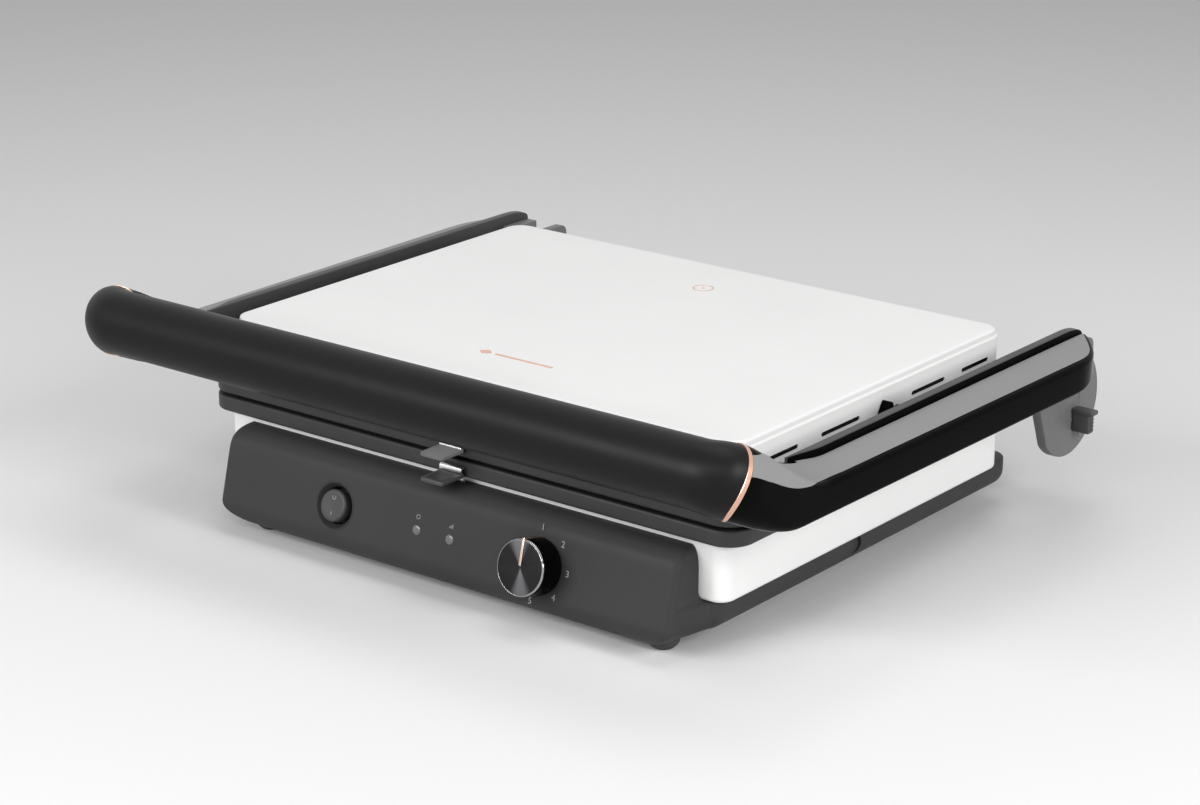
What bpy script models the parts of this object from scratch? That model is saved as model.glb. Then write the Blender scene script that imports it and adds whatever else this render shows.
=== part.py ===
# Contact grill with a floating lid: base, lid, U-shaped handle, latches and controls.
# Metres, +Z up, the front is towards -Y. Every piece hangs on one empty whose y sets the
# whole part's box centred over the origin; inside it, y is measured from the lid's centre.

import math

import bmesh
import bpy
from mathutils import Matrix, Vector

# Levels, from the table up
FOOT_HEIGHT = 0.005
SKIRT_HEIGHT = 0.0244
SHELL_HEIGHT = 0.033
LOWER_RIM_HEIGHT = 0.0091
SEAM = 0.0017
UPPER_RIM_HEIGHT = 0.0126
LID_HEIGHT = 0.0284
GAP = 0.0003
OVERRUN = 0.004

# Lid cover
LID_WIDTH = 0.352
LID_DEPTH = 0.2581
LID_CORNER = 0.012
LID_WALL = 0.002
LID_EDGE = 0.0038
LID_STEP = 0.0034
SLOT_HEIGHT = 0.002
SLOT_LEVEL = 0.0138
SLOT_INNER_START = 0.0193
SLOT_INNER_LENGTH = 0.0325
SLOT_INNER_BACK = 0.0325
SLOT_OUTER_START = 0.0768
SLOT_OUTER_LENGTH = 0.0255
SLOT_OUTER_BACK = 0.0845

# Plates
PLATE_SIDE_LIP = 0.0071
PLATE_FRONT_LIP = 0.01145
PLATE_BACK_LIP = 0.00745
PLATE_CORNER = 0.015
PLATE_FLOOR = 0.0035
PLATE_LAND = 0.009
RIM_ROUND = 0.0016
CHANNEL_WIDTH = 0.009
RIB_COUNT = 21
RIB_CLEARANCE = 0.0011
RIB_WIDTH_SHARE = 0.52
RIB_TOP_SHARE = 0.34

# Base
SHELL_SIDE_INSET = 0.003
SHELL_FRONT_STEP = 0.00595
SHELL_BACK_STEP = 0.00645
SHELL_CORNER = 0.009
SHELL_WALL = 0.0025
SHELL_ROUND = 0.004
SKIRT_SIDE_INSET = 0.006
SKIRT_FRONT_STEP = 0.014
SKIRT_BACK_STEP = 0.023
SKIRT_CORNER = 0.012
SKIRT_TUCK = 0.029
PAN_WALL = 0.0025
HATCH_MARGIN = 0.014
HATCH_CORNER = 0.012
HATCH_THICKNESS = 0.0022
SCREW_RADIUS = 0.003
SCREW_HEAD = 0.0012
SCREW_INSET = 0.010

# Control panel
PANEL_SIDE_INSET = 0.0155
PANEL_REACH = 0.0218
PANEL_MID = 0.0285
PANEL_LEAN = math.radians(14)
PANEL_DROP = 0.0039
PANEL_CORNER = 0.014
PANEL_PLAN_CORNER = 0.005
PANEL_TUCK = 0.011
PANEL_TOP_DEPTH = 0.014
PANEL_DEPTH = 0.023
PANEL_LIFT = 0.0008

# Feet
FOOT_RADIUS = 0.0088
FOOT_TIP_RADIUS = 0.0048
FOOT_SIDE_INSET = 0.0293
FOOT_FRONT_INSET = 0.0105
FOOT_BACK_INSET = 0.025

# Rear hinge
HINGE_STEP = 0.03615
HINGE_LEVEL = 0.0631
SHAFT_RADIUS = 0.006
HOUSING_INSET = 0.033
HOUSING_RADIUS = 0.014
HOUSING_DEPTH = 0.019
HOUSING_HEIGHT = 0.028
DISC_RADIUS = 0.032
DISC_INSET = 0.0024
DISC_THICKNESS = 0.006
DISC_CAP = 0.0015
DISC_FRONT_REACH = 0.050
DISC_BACK_REACH = 0.0245
DISC_TOP = 0.034
DISC_CORNER = 0.005
ROOT_FRONT = 0.031
ROOT_BACK = 0.006
ROOT_LOW = 0.027
ROOT_HIGH = 0.043
LEVER_LENGTH = 0.0135
LEVER_DEPTH = 0.0075
LEVER_HEIGHT = 0.014
LEVER_BACK = 0.0055
LEVER_DROP = 0.011
LEVER_EDGE = 0.0012

# Arms
ARM_GAP = 0.0224
ARM_RIDGE = 0.0055
ARM_WIDTH = 0.0268
ARM_FLARE = 0.0028
ARM_HEIGHT = 0.025
ARM_LIFT = 0.0008
ARM_RISER = 0.0024
ARM_SLOPE = 0.2
ARM_BACK_INSET = 0.00265
ARM_END_LENGTH = 0.033
ARM_EDGE = 0.0022
RIDGE_FRONT_INSET = 0.00705
RIDGE_TAPER = 0.026
RIDGE_TIP = 0.0016
STRIP_THICKNESS = 0.001
ARM_END_LIFT = 0.007

# Handle bar
BAR_STEP = 0.04955
BAR_RISE = 0.0218
BAR_HALF_DEPTH = 0.017
BAR_HALF_HEIGHT = 0.018
BEND_CENTRE = 0.0024
RAMP_INSET = 0.01105
SPLIT_TILT = math.radians(20)
TRIM_THICKNESS = 0.0008
TRIM_PROUD = 0.00015
RING_ANGLE = math.radians(36)
RING_HALF_ANGLE = math.radians(1.9)

# Lid pivots
PIVOT_BACK = 0.00945
PIVOT_LEVEL = 0.098
PIVOT_BOSS_RADIUS = 0.0074
PIVOT_PIN_RADIUS = 0.003
PIVOT_PIN_BITE = 0.010

# Latches
LATCH_WIDTH = 0.015
LATCH_SHEET = 0.0013
LATCH_TAB_WIDTH = 0.0165
LATCH_TAB_LENGTH = 0.0125
LATCH_TAB_HEIGHT = 0.0026
UPPER_LATCH_HEIGHT = 0.010
UPPER_TAB_LEVEL = 0.0015
LOWER_LATCH_HEIGHT = 0.0085
LOWER_LATCH_DROP = 0.0025
LOWER_TAB_LEVEL = 0.0020

# Controls
KNOB_X = 0.0706
KNOB_RADIUS = 0.0155
KNOB_LENGTH = 0.0155
KNOB_EDGE = 0.0008
KNOB_CAP_RADIUS = 0.0142
KNOB_CAP_THICKNESS = 0.0009
KNOB_BORE_DEPTH = 0.008
POINTER_WIDTH = 0.0012
POINTER_LENGTH = 0.0122
POINTER_HEIGHT = 0.0004
SPINDLE_RADIUS = 0.003
THERMOSTAT_WIDTH = 0.030
THERMOSTAT_HEIGHT = 0.022
THERMOSTAT_DEPTH = 0.010
SWITCH_X = 0.072
BEZEL_RADIUS = 0.0133
BEZEL_PROUD = 0.0008
BARREL_RADIUS = 0.0115
BARREL_DEPTH = 0.014
ROCKER_RADIUS = 0.009
ROCKER_THICKNESS = 0.005
ROCKER_PROUD = 0.0018
ROCKER_PLAY = 0.0011
ROCKER_REST = math.radians(6)
LAMP_LEFT_X = 0.013
LAMP_RIGHT_X = 0.010
LAMP_RADIUS = 0.003
LAMP_PROUD = 0.0006
LAMP_DEPTH = 0.007

# Inside
HEATER_RADIUS = 0.0035
HEATER_SIDE_INSET = 0.056
HEATER_FRONT_INSET = 0.034
HEATER_BACK_INSET = 0.024
HEATER_BEND = 0.018
TRAY_THICKNESS = 0.0012
TRAY_RISE = 0.004
FRAME_HEIGHT = 0.008
FRAME_WALL = 0.003
GLAND_X = 0.105
GLAND_RADIUS = 0.0075
GLAND_TIP_RADIUS = 0.005
GLAND_LENGTH = 0.014
GLAND_BORE = 0.0032
GLAND_LEVEL = 0.0195

# Mesh fineness
CORNER_STEPS = 5
ROUND_STEPS = 28
ARC_STEPS = 14
BEND_STEPS = 6
SECTION_STEPS = 4
SMOOTH_ANGLE = math.radians(32)

# Shares of the sizes above, along profiles
skirt_rise_shares = (0, 0.25, 0.5, 0.68, 1)
skirt_tuck_shares = (1, 0.45, 0.14, 0.04, 0)
panel_rise_shares = (0, 0.07, 0.16, 0.27, 0.74, 0.88, 0.945, 0.975, 1)
panel_tuck_shares = (1, 0.5, 0.15, 0, 0, 0, 0, 0, 0)
panel_top_shares = (0, 0, 0, 0, 0, 0.04, 0.14, 0.34, 1)
panel_side_shares = (1.2, 0.6, 0.15, -0.1, -0.05, 0.1, 0.3, 0.5, 0.9)
shell_round_shares = ((0, 0.8), (0.15, 0.4), (0.5, 0.1), (1, 0))
lid_round_shares = ((0, 1), (0.12, 0.65), (0.45, 0.4), (1, 0.32), (1.12, 0.08), (1.45, 0))
rim_round_shares = ((0, 1), (0.35, 0.25), (1, 0))
climb_end_share = 1.75
ring_room_share = 1.3
lens_tip_share = 0.7

# Reaches in x that follow from the lid's width
lid_half = LID_WIDTH / 2
plate_half = lid_half + PLATE_SIDE_LIP
shell_half = lid_half - SHELL_SIDE_INSET
skirt_half = shell_half - SKIRT_SIDE_INSET
panel_half = shell_half - PANEL_SIDE_INSET
foot_spread = skirt_half - FOOT_SIDE_INSET
housing_half = shell_half - HOUSING_INSET
arm_inner = lid_half + ARM_GAP
arm_outer_front = arm_inner + ARM_WIDTH
arm_outer_back = arm_outer_front + ARM_FLARE
disc_face = arm_inner - DISC_INSET
heater_spread = lid_half - HEATER_SIDE_INSET

# Reaches in y that follow from the lid's depth
lid_reach = LID_DEPTH / 2
plate_front = lid_reach + PLATE_FRONT_LIP
plate_back = lid_reach + PLATE_BACK_LIP
shell_front = lid_reach + SHELL_FRONT_STEP
shell_back = lid_reach + SHELL_BACK_STEP
skirt_front = shell_front + SKIRT_FRONT_STEP
skirt_back = shell_back + SKIRT_BACK_STEP
panel_back = shell_front - PANEL_DEPTH
foot_front = skirt_front - FOOT_FRONT_INSET
foot_back = skirt_back - FOOT_BACK_INSET
hinge_back = shell_back + HINGE_STEP
arm_back = hinge_back - ARM_BACK_INSET
ridge_front = lid_reach - RIDGE_FRONT_INSET
ramp_start = lid_reach - RAMP_INSET
bar_reach = plate_front + BAR_STEP
heater_front = lid_reach - HEATER_FRONT_INSET
heater_back = lid_reach - HEATER_BACK_INSET

# Levels that follow from the sizes
pan_bottom = FOOT_HEIGHT
skirt_top = pan_bottom + SKIRT_HEIGHT
shell_bottom = skirt_top + GAP
shell_top = shell_bottom + SHELL_HEIGHT
lower_rim_bottom = shell_top + GAP
lower_rim_top = lower_rim_bottom + LOWER_RIM_HEIGHT
upper_rim_bottom = lower_rim_top + SEAM
upper_rim_top = upper_rim_bottom + UPPER_RIM_HEIGHT
lid_bottom = upper_rim_top + GAP
lid_top = lid_bottom + LID_HEIGHT
panel_top = lower_rim_bottom - PANEL_DROP
panel_bottom = pan_bottom + PANEL_LIFT
panel_mid = pan_bottom + PANEL_MID
panel_face = -(shell_front + GAP + PANEL_REACH)
arm_bottom = upper_rim_top + ARM_LIFT
arm_mid = arm_bottom + ARM_HEIGHT / 2
bar_mid = arm_mid + BAR_RISE

# The bends turn about upright lines just inside the arms and just behind the bar
bend_x = arm_inner - BEND_CENTRE
bend_y = -(bar_reach - BAR_HALF_DEPTH - BEND_CENTRE)
front_reach = bar_reach + BAR_HALF_DEPTH
back_reach = hinge_back + DISC_RADIUS
frame_y = (front_reach - back_reach) / 2


def clear_scene():
    for item in list(bpy.data.objects):
        bpy.data.objects.remove(item, do_unlink=True)


def new_collection(name):
    group = bpy.data.collections.new(name)
    bpy.context.scene.collection.children.link(group)
    return group


def make_material(name, color, roughness, metallic=0.0):
    made = bpy.data.materials.new(name)
    made.use_nodes = True
    shader = made.node_tree.nodes["Principled BSDF"]
    shader.inputs["Base Color"].default_value = (*color, 1)
    shader.inputs["Roughness"].default_value = roughness
    shader.inputs["Metallic"].default_value = metallic
    made.diffuse_color = (*color, 1)
    return made


def add_empty(name, place, parent=None, lean=0.0):
    empty = bpy.data.objects.new(name, None)
    empty.location = place
    empty.rotation_euler = (lean, 0, 0)
    empty.parent = parent
    part_group.objects.link(empty)
    return empty


def add_piece(name, bm, finish, parent):
    # Vertices arrive in the frame's space, or for a leaning seat in the seat's own
    if parent in pivots:
        bmesh.ops.translate(bm, verts=bm.verts, vec=-parent.location)
    bmesh.ops.recalc_face_normals(bm, faces=bm.faces)
    mesh = bpy.data.meshes.new(name)
    bm.to_mesh(mesh)
    bm.free()
    mesh.shade_smooth()
    mesh.set_sharp_from_angle(angle=SMOOTH_ANGLE)
    mesh.materials.append(finish)
    piece = bpy.data.objects.new(name, mesh)
    piece.parent = parent
    part_group.objects.link(piece)
    return piece


def add_cutter(name, bm, parent):
    bmesh.ops.recalc_face_normals(bm, faces=bm.faces)
    mesh = bpy.data.meshes.new(name)
    bm.to_mesh(mesh)
    bm.free()
    cutter = bpy.data.objects.new(name, mesh)
    cutter.parent = parent
    cutter.hide_render = True
    cutter.display_type = "WIRE"
    cutter_group.objects.link(cutter)
    return cutter


def combine(piece, other, operation="DIFFERENCE"):
    step = piece.modifiers.new(other.name, "BOOLEAN")
    step.operation = operation
    step.object = other
    step.solver = "EXACT"


def loft(rings, closed=False):
    # Joins rings of equally many points; an open loft gets a cap at each end
    bm = bmesh.new()
    rows = [[bm.verts.new(point) for point in ring] for ring in rings]
    count = len(rows[0])
    pairs = list(zip(rows, rows[1:]))
    if closed:
        pairs.append((rows[-1], rows[0]))
    for low, high in pairs:
        for i in range(count):
            j = (i + 1) % count
            bm.faces.new((low[i], low[j], high[j], high[i]))
    if not closed:
        bm.faces.new(reversed(rows[0]))
        bm.faces.new(rows[-1])
    return bm


def merge(target, extra):
    mesh = bpy.data.meshes.new("merge")
    extra.to_mesh(mesh)
    extra.free()
    target.from_mesh(mesh)
    bpy.data.meshes.remove(mesh)
    return target


def plan_ring(half_x, front, back, corner, z):
    # A rounded rectangle seen from above, from y = -front to y = back
    points = []
    centres = (
        (half_x - corner, back - corner, 0),
        (corner - half_x, back - corner, 1),
        (corner - half_x, corner - front, 2),
        (half_x - corner, corner - front, 3),
    )
    for x, y, quarter in centres:
        for step in range(CORNER_STEPS + 1):
            angle = (quarter + step / CORNER_STEPS) * math.pi / 2
            points.append((x + corner * math.cos(angle), y + corner * math.sin(angle), z))
    return points


def inset_ring(outline, z, inset):
    half_x, front, back, corner = outline
    rounding = max(corner - inset, corner / ROUND_STEPS)
    return plan_ring(half_x - inset, front - inset, back - inset, rounding, z)


def box(low, high):
    bm = bmesh.new()
    bmesh.ops.create_cube(bm, size=1)
    size = [b - a for a, b in zip(low, high)]
    middle = [(a + b) / 2 for a, b in zip(low, high)]
    bmesh.ops.scale(bm, verts=bm.verts, vec=size)
    bmesh.ops.translate(bm, verts=bm.verts, vec=middle)
    return bm


def rounded_block(low, high, edge):
    bm = box(low, high)
    bmesh.ops.bevel(bm, geom=bm.edges, offset=edge, segments=2, affect="EDGES", profile=0.5)
    return bm


def cylinder(radius, start, end, axis, steps=ROUND_STEPS, end_radius=None):
    # A round bar along X, Y or Z between two places
    bm = bmesh.new()
    length = (Vector(end) - Vector(start)).length
    tip = radius if end_radius is None else end_radius
    bmesh.ops.create_cone(
        bm, cap_ends=True, segments=steps, radius1=radius, radius2=tip, depth=length
    )
    turns = {
        "X": Matrix.Rotation(math.pi / 2, 3, "Y"),
        "Y": Matrix.Rotation(-math.pi / 2, 3, "X"),
        "Z": Matrix.Identity(3),
    }
    bmesh.ops.rotate(bm, verts=bm.verts, matrix=turns[axis], cent=(0, 0, 0))
    bmesh.ops.translate(bm, verts=bm.verts, vec=(Vector(start) + Vector(end)) / 2)
    return bm


def turned(profile, steps=ROUND_STEPS):
    # A profile of (distance along -Y, radius) pairs spun about Y, closed by end caps
    rings = []
    for reach, radius in profile:
        ring = []
        for i in range(steps):
            angle = 2 * math.pi * i / steps
            ring.append((radius * math.sin(angle), -reach, radius * math.cos(angle)))
        rings.append(ring)
    return loft(rings)


def extrude_side(points, x_low, x_high):
    # An outline of (y, z) points given thickness along X
    return loft([[(x, y, z) for y, z in points] for x in (x_low, x_high)])


def arc(centre, radius, start, end, steps):
    points = []
    for i in range(steps + 1):
        angle = math.radians(start + (end - start) * i / steps)
        points.append((centre[0] + radius * math.cos(angle), centre[1] + radius * math.sin(angle)))
    return points


def tube(name, points, radius, finish, parent):
    # A bent rod from a curve, made a mesh and welded
    curve = bpy.data.curves.new(name, "CURVE")
    curve.dimensions = "3D"
    curve.bevel_depth = radius
    curve.bevel_resolution = 2
    curve.use_fill_caps = True
    line = curve.splines.new("POLY")
    line.points.add(len(points) - 1)
    for spot, point in zip(line.points, points):
        spot.co = (*point, 1)
    guide = bpy.data.objects.new(name + "_guide", curve)
    bpy.context.scene.collection.objects.link(guide)
    bpy.context.view_layer.update()
    ready = guide.evaluated_get(bpy.context.evaluated_depsgraph_get())
    mesh = bpy.data.meshes.new_from_object(ready)
    bpy.data.objects.remove(guide, do_unlink=True)
    bm = bmesh.new()
    bm.from_mesh(mesh)
    bmesh.ops.remove_doubles(bm, verts=bm.verts, dist=radius / ROUND_STEPS)
    bpy.data.meshes.remove(mesh)
    return add_piece(name, bm, finish, parent)


def panel_line(z):
    # The leaning front face: where it lies at a level
    return panel_face + (z - panel_mid) * math.tan(PANEL_LEAN)


def skirt_rings(inset, low, high):
    rings = []
    for rise, tuck in zip(skirt_rise_shares, skirt_tuck_shares):
        z = low + (high - low) * rise
        outline = (skirt_half, skirt_front, skirt_back, SKIRT_CORNER)
        rings.append(inset_ring(outline, z, SKIRT_TUCK * tuck + inset))
    return rings


def panel_rings(inset):
    rings = []
    low = panel_bottom + inset
    high = panel_top - inset
    shares = zip(panel_rise_shares, panel_tuck_shares, panel_top_shares, panel_side_shares)
    for rise, tuck, top, side in shares:
        z = low + (high - low) * rise
        front = -panel_line(z) - PANEL_TUCK * tuck - PANEL_TOP_DEPTH * top - inset
        half = panel_half - PANEL_CORNER * side - inset
        rings.append(plan_ring(half, front, -(panel_back - inset), PANEL_PLAN_CORNER - inset, z))
    return rings


def shell_outline():
    return (shell_half, shell_front, shell_back, SHELL_CORNER)


def make_base_pan(finish):
    pan = add_piece("base_pan", loft(skirt_rings(0, pan_bottom, skirt_top)), finish, frame)
    combine(pan, add_cutter("panel_block", loft(panel_rings(0)), frame), "UNION")
    half_x, front, back, corner = shell_outline()
    seat = (half_x + GAP, front + GAP, back + GAP, corner + GAP)
    seat_rings = [inset_ring(seat, z, 0) for z in (skirt_top + GAP / 2, panel_top + OVERRUN)]
    floor = pan_bottom + PAN_WALL
    inner = skirt_rings(PAN_WALL, floor, skirt_top)
    inner.append(inset_ring((skirt_half, skirt_front, skirt_back, SKIRT_CORNER),
                            skirt_top + OVERRUN, PAN_WALL))
    cutters = [
        add_cutter("pan_inside", loft(inner), frame),
        add_cutter("panel_inside", loft(panel_rings(PAN_WALL)), frame),
        add_cutter("shell_seat", loft(seat_rings), frame),
        add_cutter("hatch_opening", hatch_block(GAP, OVERRUN), frame),
        add_cutter("spindle_hole", control_bar(KNOB_X, SPINDLE_RADIUS + GAP), frame),
        add_cutter("switch_hole", control_bar(-SWITCH_X, BARREL_RADIUS + GAP), frame),
        add_cutter("lamp_hole_left", control_bar(-LAMP_LEFT_X, LAMP_RADIUS + GAP), frame),
        add_cutter("lamp_hole_right", control_bar(LAMP_RIGHT_X, LAMP_RADIUS + GAP), frame),
        add_cutter("gland_hole", gland_bar(), frame),
    ]
    for cutter in cutters:
        combine(pan, cutter)


def control_bar(x, radius):
    # A round cutter square to the panel at one control's place
    bar = cylinder(radius, (0, -OVERRUN, 0), (0, PANEL_REACH / 2, 0), "Y")
    bmesh.ops.rotate(bar, verts=bar.verts, cent=(0, 0, 0),
                     matrix=Matrix.Rotation(-PANEL_LEAN, 3, "X"))
    bmesh.ops.translate(bar, verts=bar.verts, vec=(x, panel_face, panel_mid))
    return bar


def gland_bar():
    return cylinder(GLAND_RADIUS, (-GLAND_X, skirt_back - PAN_WALL * 2, GLAND_LEVEL),
                    (-GLAND_X, skirt_back + OVERRUN, GLAND_LEVEL), "Y")


def hatch_block(grow, overrun):
    half = skirt_half - SKIRT_TUCK - HATCH_MARGIN + grow
    front = skirt_front - SKIRT_TUCK - HATCH_MARGIN + grow
    back = skirt_back - SKIRT_TUCK - HATCH_MARGIN + grow
    outline = (half, front, back, HATCH_CORNER + grow)
    top = pan_bottom + (HATCH_THICKNESS if overrun == 0 else PAN_WALL + overrun)
    return loft([inset_ring(outline, z, 0) for z in (pan_bottom - overrun, top)])


def make_bottom(black, steel):
    add_piece("bottom_cover", hatch_block(0, 0), black, frame)
    x = skirt_half - SKIRT_TUCK - HATCH_MARGIN - SCREW_INSET
    front = skirt_front - SKIRT_TUCK - HATCH_MARGIN - SCREW_INSET
    back = skirt_back - SKIRT_TUCK - HATCH_MARGIN - SCREW_INSET
    top = pan_bottom - GAP
    for side, word in ((-1, "left"), (1, "right")):
        for y, end in ((-front, "front"), (back, "back")):
            head = cylinder(SCREW_RADIUS, (side * x, y, top - SCREW_HEAD), (side * x, y, top), "Z",
                            ARC_STEPS)
            add_piece("cover_screw_" + end + "_" + word, head, steel, frame)


def make_feet(rubber):
    names = {(-1, -1): "foot_front_left", (1, -1): "foot_front_right",
             (-1, 1): "foot_back_left", (1, 1): "foot_back_right"}
    for (side, end), name in names.items():
        y = foot_back if end > 0 else -foot_front
        seat = pan_bottom if end > 0 else panel_bottom
        place = (side * foot_spread, y, 0)
        top = (place[0], y, seat - GAP)
        foot = cylinder(FOOT_TIP_RADIUS, place, top, "Z", end_radius=FOOT_RADIUS)
        add_piece(name, foot, rubber, frame)


def make_shell(white):
    outline = shell_outline()
    rings = []
    for rise, inset in shell_round_shares:
        rings.append(inset_ring(outline, shell_bottom + SHELL_ROUND * rise, SHELL_ROUND * inset))
    lowest = SHELL_ROUND * shell_round_shares[0][1]
    rings += [
        inset_ring(outline, shell_top, 0),
        inset_ring(outline, shell_top, SHELL_WALL),
        inset_ring(outline, shell_bottom + SHELL_ROUND, SHELL_WALL),
        inset_ring(outline, shell_bottom, lowest + SHELL_WALL),
    ]
    add_piece("shell_lower", loft(rings, closed=True), white, frame)


def plate_outline():
    return (plate_half, plate_front, plate_back, PLATE_CORNER)


def plate_rings(back_z, face_z):
    # From the back of a plate round its rim to the recessed cooking floor
    outline = plate_outline()
    way = 1 if face_z > back_z else -1
    floor_z = back_z + way * PLATE_FLOOR
    rings = []
    for rise, inset in rim_round_shares:
        rings.append(inset_ring(outline, back_z + way * RIM_ROUND * rise, RIM_ROUND * inset))
    for rise, inset in reversed(rim_round_shares):
        rings.append(inset_ring(outline, face_z - way * RIM_ROUND * rise, RIM_ROUND * inset))
    rings.append(inset_ring(outline, face_z, PLATE_LAND))
    rings.append(inset_ring(outline, floor_z, PLATE_LAND + RIM_ROUND))
    return rings


def rib_comb(base_z, floor_z, top_z, shift):
    # One block of ribs along Y, from an outline in X and Z
    reach = plate_half - PLATE_LAND - CHANNEL_WIDTH
    pitch = 2 * reach / RIB_COUNT
    low = PLATE_LAND + CHANNEL_WIDTH - plate_front
    high = plate_back - PLATE_LAND - CHANNEL_WIDTH
    outline = [(-reach, base_z)]
    for i in range(RIB_COUNT):
        middle = -reach + (i + 0.5) * pitch + shift * pitch / 4
        foot = pitch * RIB_WIDTH_SHARE / 2
        tip = pitch * RIB_TOP_SHARE / 2
        if i == 0:
            outline.append((-reach, floor_z))
        outline += [(middle - foot, floor_z), (middle - tip, top_z)]
        outline += [(middle + tip, top_z), (middle + foot, floor_z)]
    outline += [(reach, floor_z), (reach, base_z)]
    return loft([[(x, y, z) for x, z in outline] for y in (low, high)])


def make_plate(name, back_z, face_z, shift, finish, parent):
    way = 1 if face_z > back_z else -1
    floor_z = back_z + way * PLATE_FLOOR
    plate = add_piece(name, loft(plate_rings(back_z, face_z)), finish, parent)
    comb = rib_comb(floor_z - way * PLATE_FLOOR / 2, floor_z + way * GAP,
                    face_z - way * RIB_CLEARANCE, shift)
    combine(plate, add_cutter(name + "_ribs", comb, frame), "UNION")


def make_heater(name, z, finish, parent):
    left = [(-HEATER_BEND, heater_back, z), (-HEATER_BEND, HEATER_BEND * 2, z)]
    left += [(x, y, z) for x, y in arc((-HEATER_BEND * 2, HEATER_BEND * 2), HEATER_BEND, 0, -90, 4)]
    corner = (HEATER_BEND - heater_spread, 0)
    left += [(x, y, z) for x, y in arc(corner, HEATER_BEND, 90, 180, 4)]
    corner = (HEATER_BEND - heater_spread, HEATER_BEND - heater_front)
    left += [(x, y, z) for x, y in arc(corner, HEATER_BEND, 180, 270, 4)]
    right = [(-x, y, z) for x, y, z in reversed(left)]
    tube(name, left + right, HEATER_RADIUS, finish, parent)


def tray(outline, low, high, thickness):
    # A shallow open pan of sheet
    way = 1 if high > low else -1
    rings = [
        inset_ring(outline, low, thickness * 2),
        inset_ring(outline, low + way * thickness, 0),
        inset_ring(outline, high, 0),
        inset_ring(outline, high, thickness),
        inset_ring(outline, low + way * thickness, thickness * 3),
    ]
    return loft(rings)


def make_lower_inside(steel, black, dark):
    heater_z = lower_rim_bottom - GAP - HEATER_RADIUS
    make_heater("lower_heater", heater_z, dark, frame)
    half_x, front, back, corner = shell_outline()
    inset = SHELL_WALL + GAP
    outline = (half_x - inset, front - inset, back - inset, corner - inset)
    top = heater_z - HEATER_RADIUS - GAP
    low = top - TRAY_THICKNESS
    add_piece("lower_reflector", tray(outline, low, low + TRAY_RISE, TRAY_THICKNESS), steel, frame)
    box_half = THERMOSTAT_WIDTH / 2
    depth = PAN_WALL + GAP
    body = box((-box_half, depth, -THERMOSTAT_HEIGHT / 2),
               (box_half, depth + THERMOSTAT_DEPTH, THERMOSTAT_HEIGHT / 2))
    thermostat = add_piece("thermostat", body, steel, knob_seat)
    spindle = cylinder(SPINDLE_RADIUS, (0, -KNOB_BORE_DEPTH + GAP, 0),
                       (0, depth + THERMOSTAT_DEPTH / 2, 0), "Y")
    combine(thermostat, add_cutter("spindle", spindle, knob_seat), "UNION")


def make_lamps(finish):
    for name, x in (("lamp_power", -LAMP_LEFT_X), ("lamp_ready", LAMP_RIGHT_X)):
        profile = [(-LAMP_DEPTH, LAMP_RADIUS), (LAMP_PROUD / 2, LAMP_RADIUS),
                   (LAMP_PROUD, LAMP_RADIUS * lens_tip_share)]
        seat = add_empty(name + "_seat", (x, panel_face, panel_mid), frame, -PANEL_LEAN)
        add_piece(name, turned(profile, ARC_STEPS), finish, seat)


def make_switch(black, grey):
    depth = ROCKER_THICKNESS + ROCKER_PLAY * 2
    pocket = ROCKER_RADIUS + ROCKER_PLAY
    profile = [
        (-BARREL_DEPTH, BARREL_RADIUS),
        (-BEZEL_PROUD, BARREL_RADIUS),
        (GAP, BARREL_RADIUS),
        (GAP, BEZEL_RADIUS),
        (BEZEL_PROUD, BEZEL_RADIUS - BEZEL_PROUD / 2),
        (BEZEL_PROUD, pocket + BEZEL_PROUD),
        (0, pocket),
        (-depth, pocket),
    ]
    add_piece("switch_body", turned(profile), black, switch_seat)
    low = ROCKER_PROUD - ROCKER_THICKNESS + ROCKER_PLAY
    high = ROCKER_PROUD + ROCKER_PLAY
    rocker = [
        (low, ROCKER_RADIUS - ROCKER_PLAY / 2),
        (low + ROCKER_PLAY / 2, ROCKER_RADIUS),
        (high - ROCKER_PLAY / 2, ROCKER_RADIUS),
        (high, ROCKER_RADIUS - ROCKER_PLAY / 2),
    ]
    key = add_piece("power_rocker", turned(rocker), grey, rocker_axis)
    pin_reach = pocket - GAP
    pin = cylinder(ROCKER_PLAY, (-pin_reach, 0, 0), (pin_reach, 0, 0), "X", ARC_STEPS)
    combine(key, add_cutter("rocker_pin", pin, rocker_axis), "UNION")


def make_knob(black, brushed, rose):
    body = [
        (GAP * 2, KNOB_RADIUS - KNOB_EDGE),
        (GAP * 2 + KNOB_EDGE, KNOB_RADIUS),
        (KNOB_LENGTH - KNOB_EDGE, KNOB_RADIUS),
        (KNOB_LENGTH, KNOB_RADIUS - KNOB_EDGE),
    ]
    knob = add_piece("knob_body", turned(body), black, knob_seat)
    bore = cylinder(SPINDLE_RADIUS + GAP, (0, OVERRUN, 0), (0, -KNOB_BORE_DEPTH, 0), "Y")
    combine(knob, add_cutter("knob_bore", bore, knob_seat))
    cap_low = KNOB_LENGTH + GAP
    cap = [
        (cap_low, KNOB_CAP_RADIUS),
        (cap_low + KNOB_CAP_THICKNESS / 2, KNOB_CAP_RADIUS),
        (cap_low + KNOB_CAP_THICKNESS, KNOB_CAP_RADIUS - KNOB_CAP_THICKNESS / 2),
    ]
    add_piece("knob_cap", turned(cap), brushed, knob_seat)
    face = cap_low + KNOB_CAP_THICKNESS + GAP
    tip = KNOB_CAP_RADIUS - KNOB_CAP_THICKNESS
    pointer = box((-POINTER_WIDTH / 2, -face - POINTER_HEIGHT, tip - POINTER_LENGTH),
                  (POINTER_WIDTH / 2, -face, tip))
    add_piece("knob_pointer", pointer, rose, knob_seat)


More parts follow.
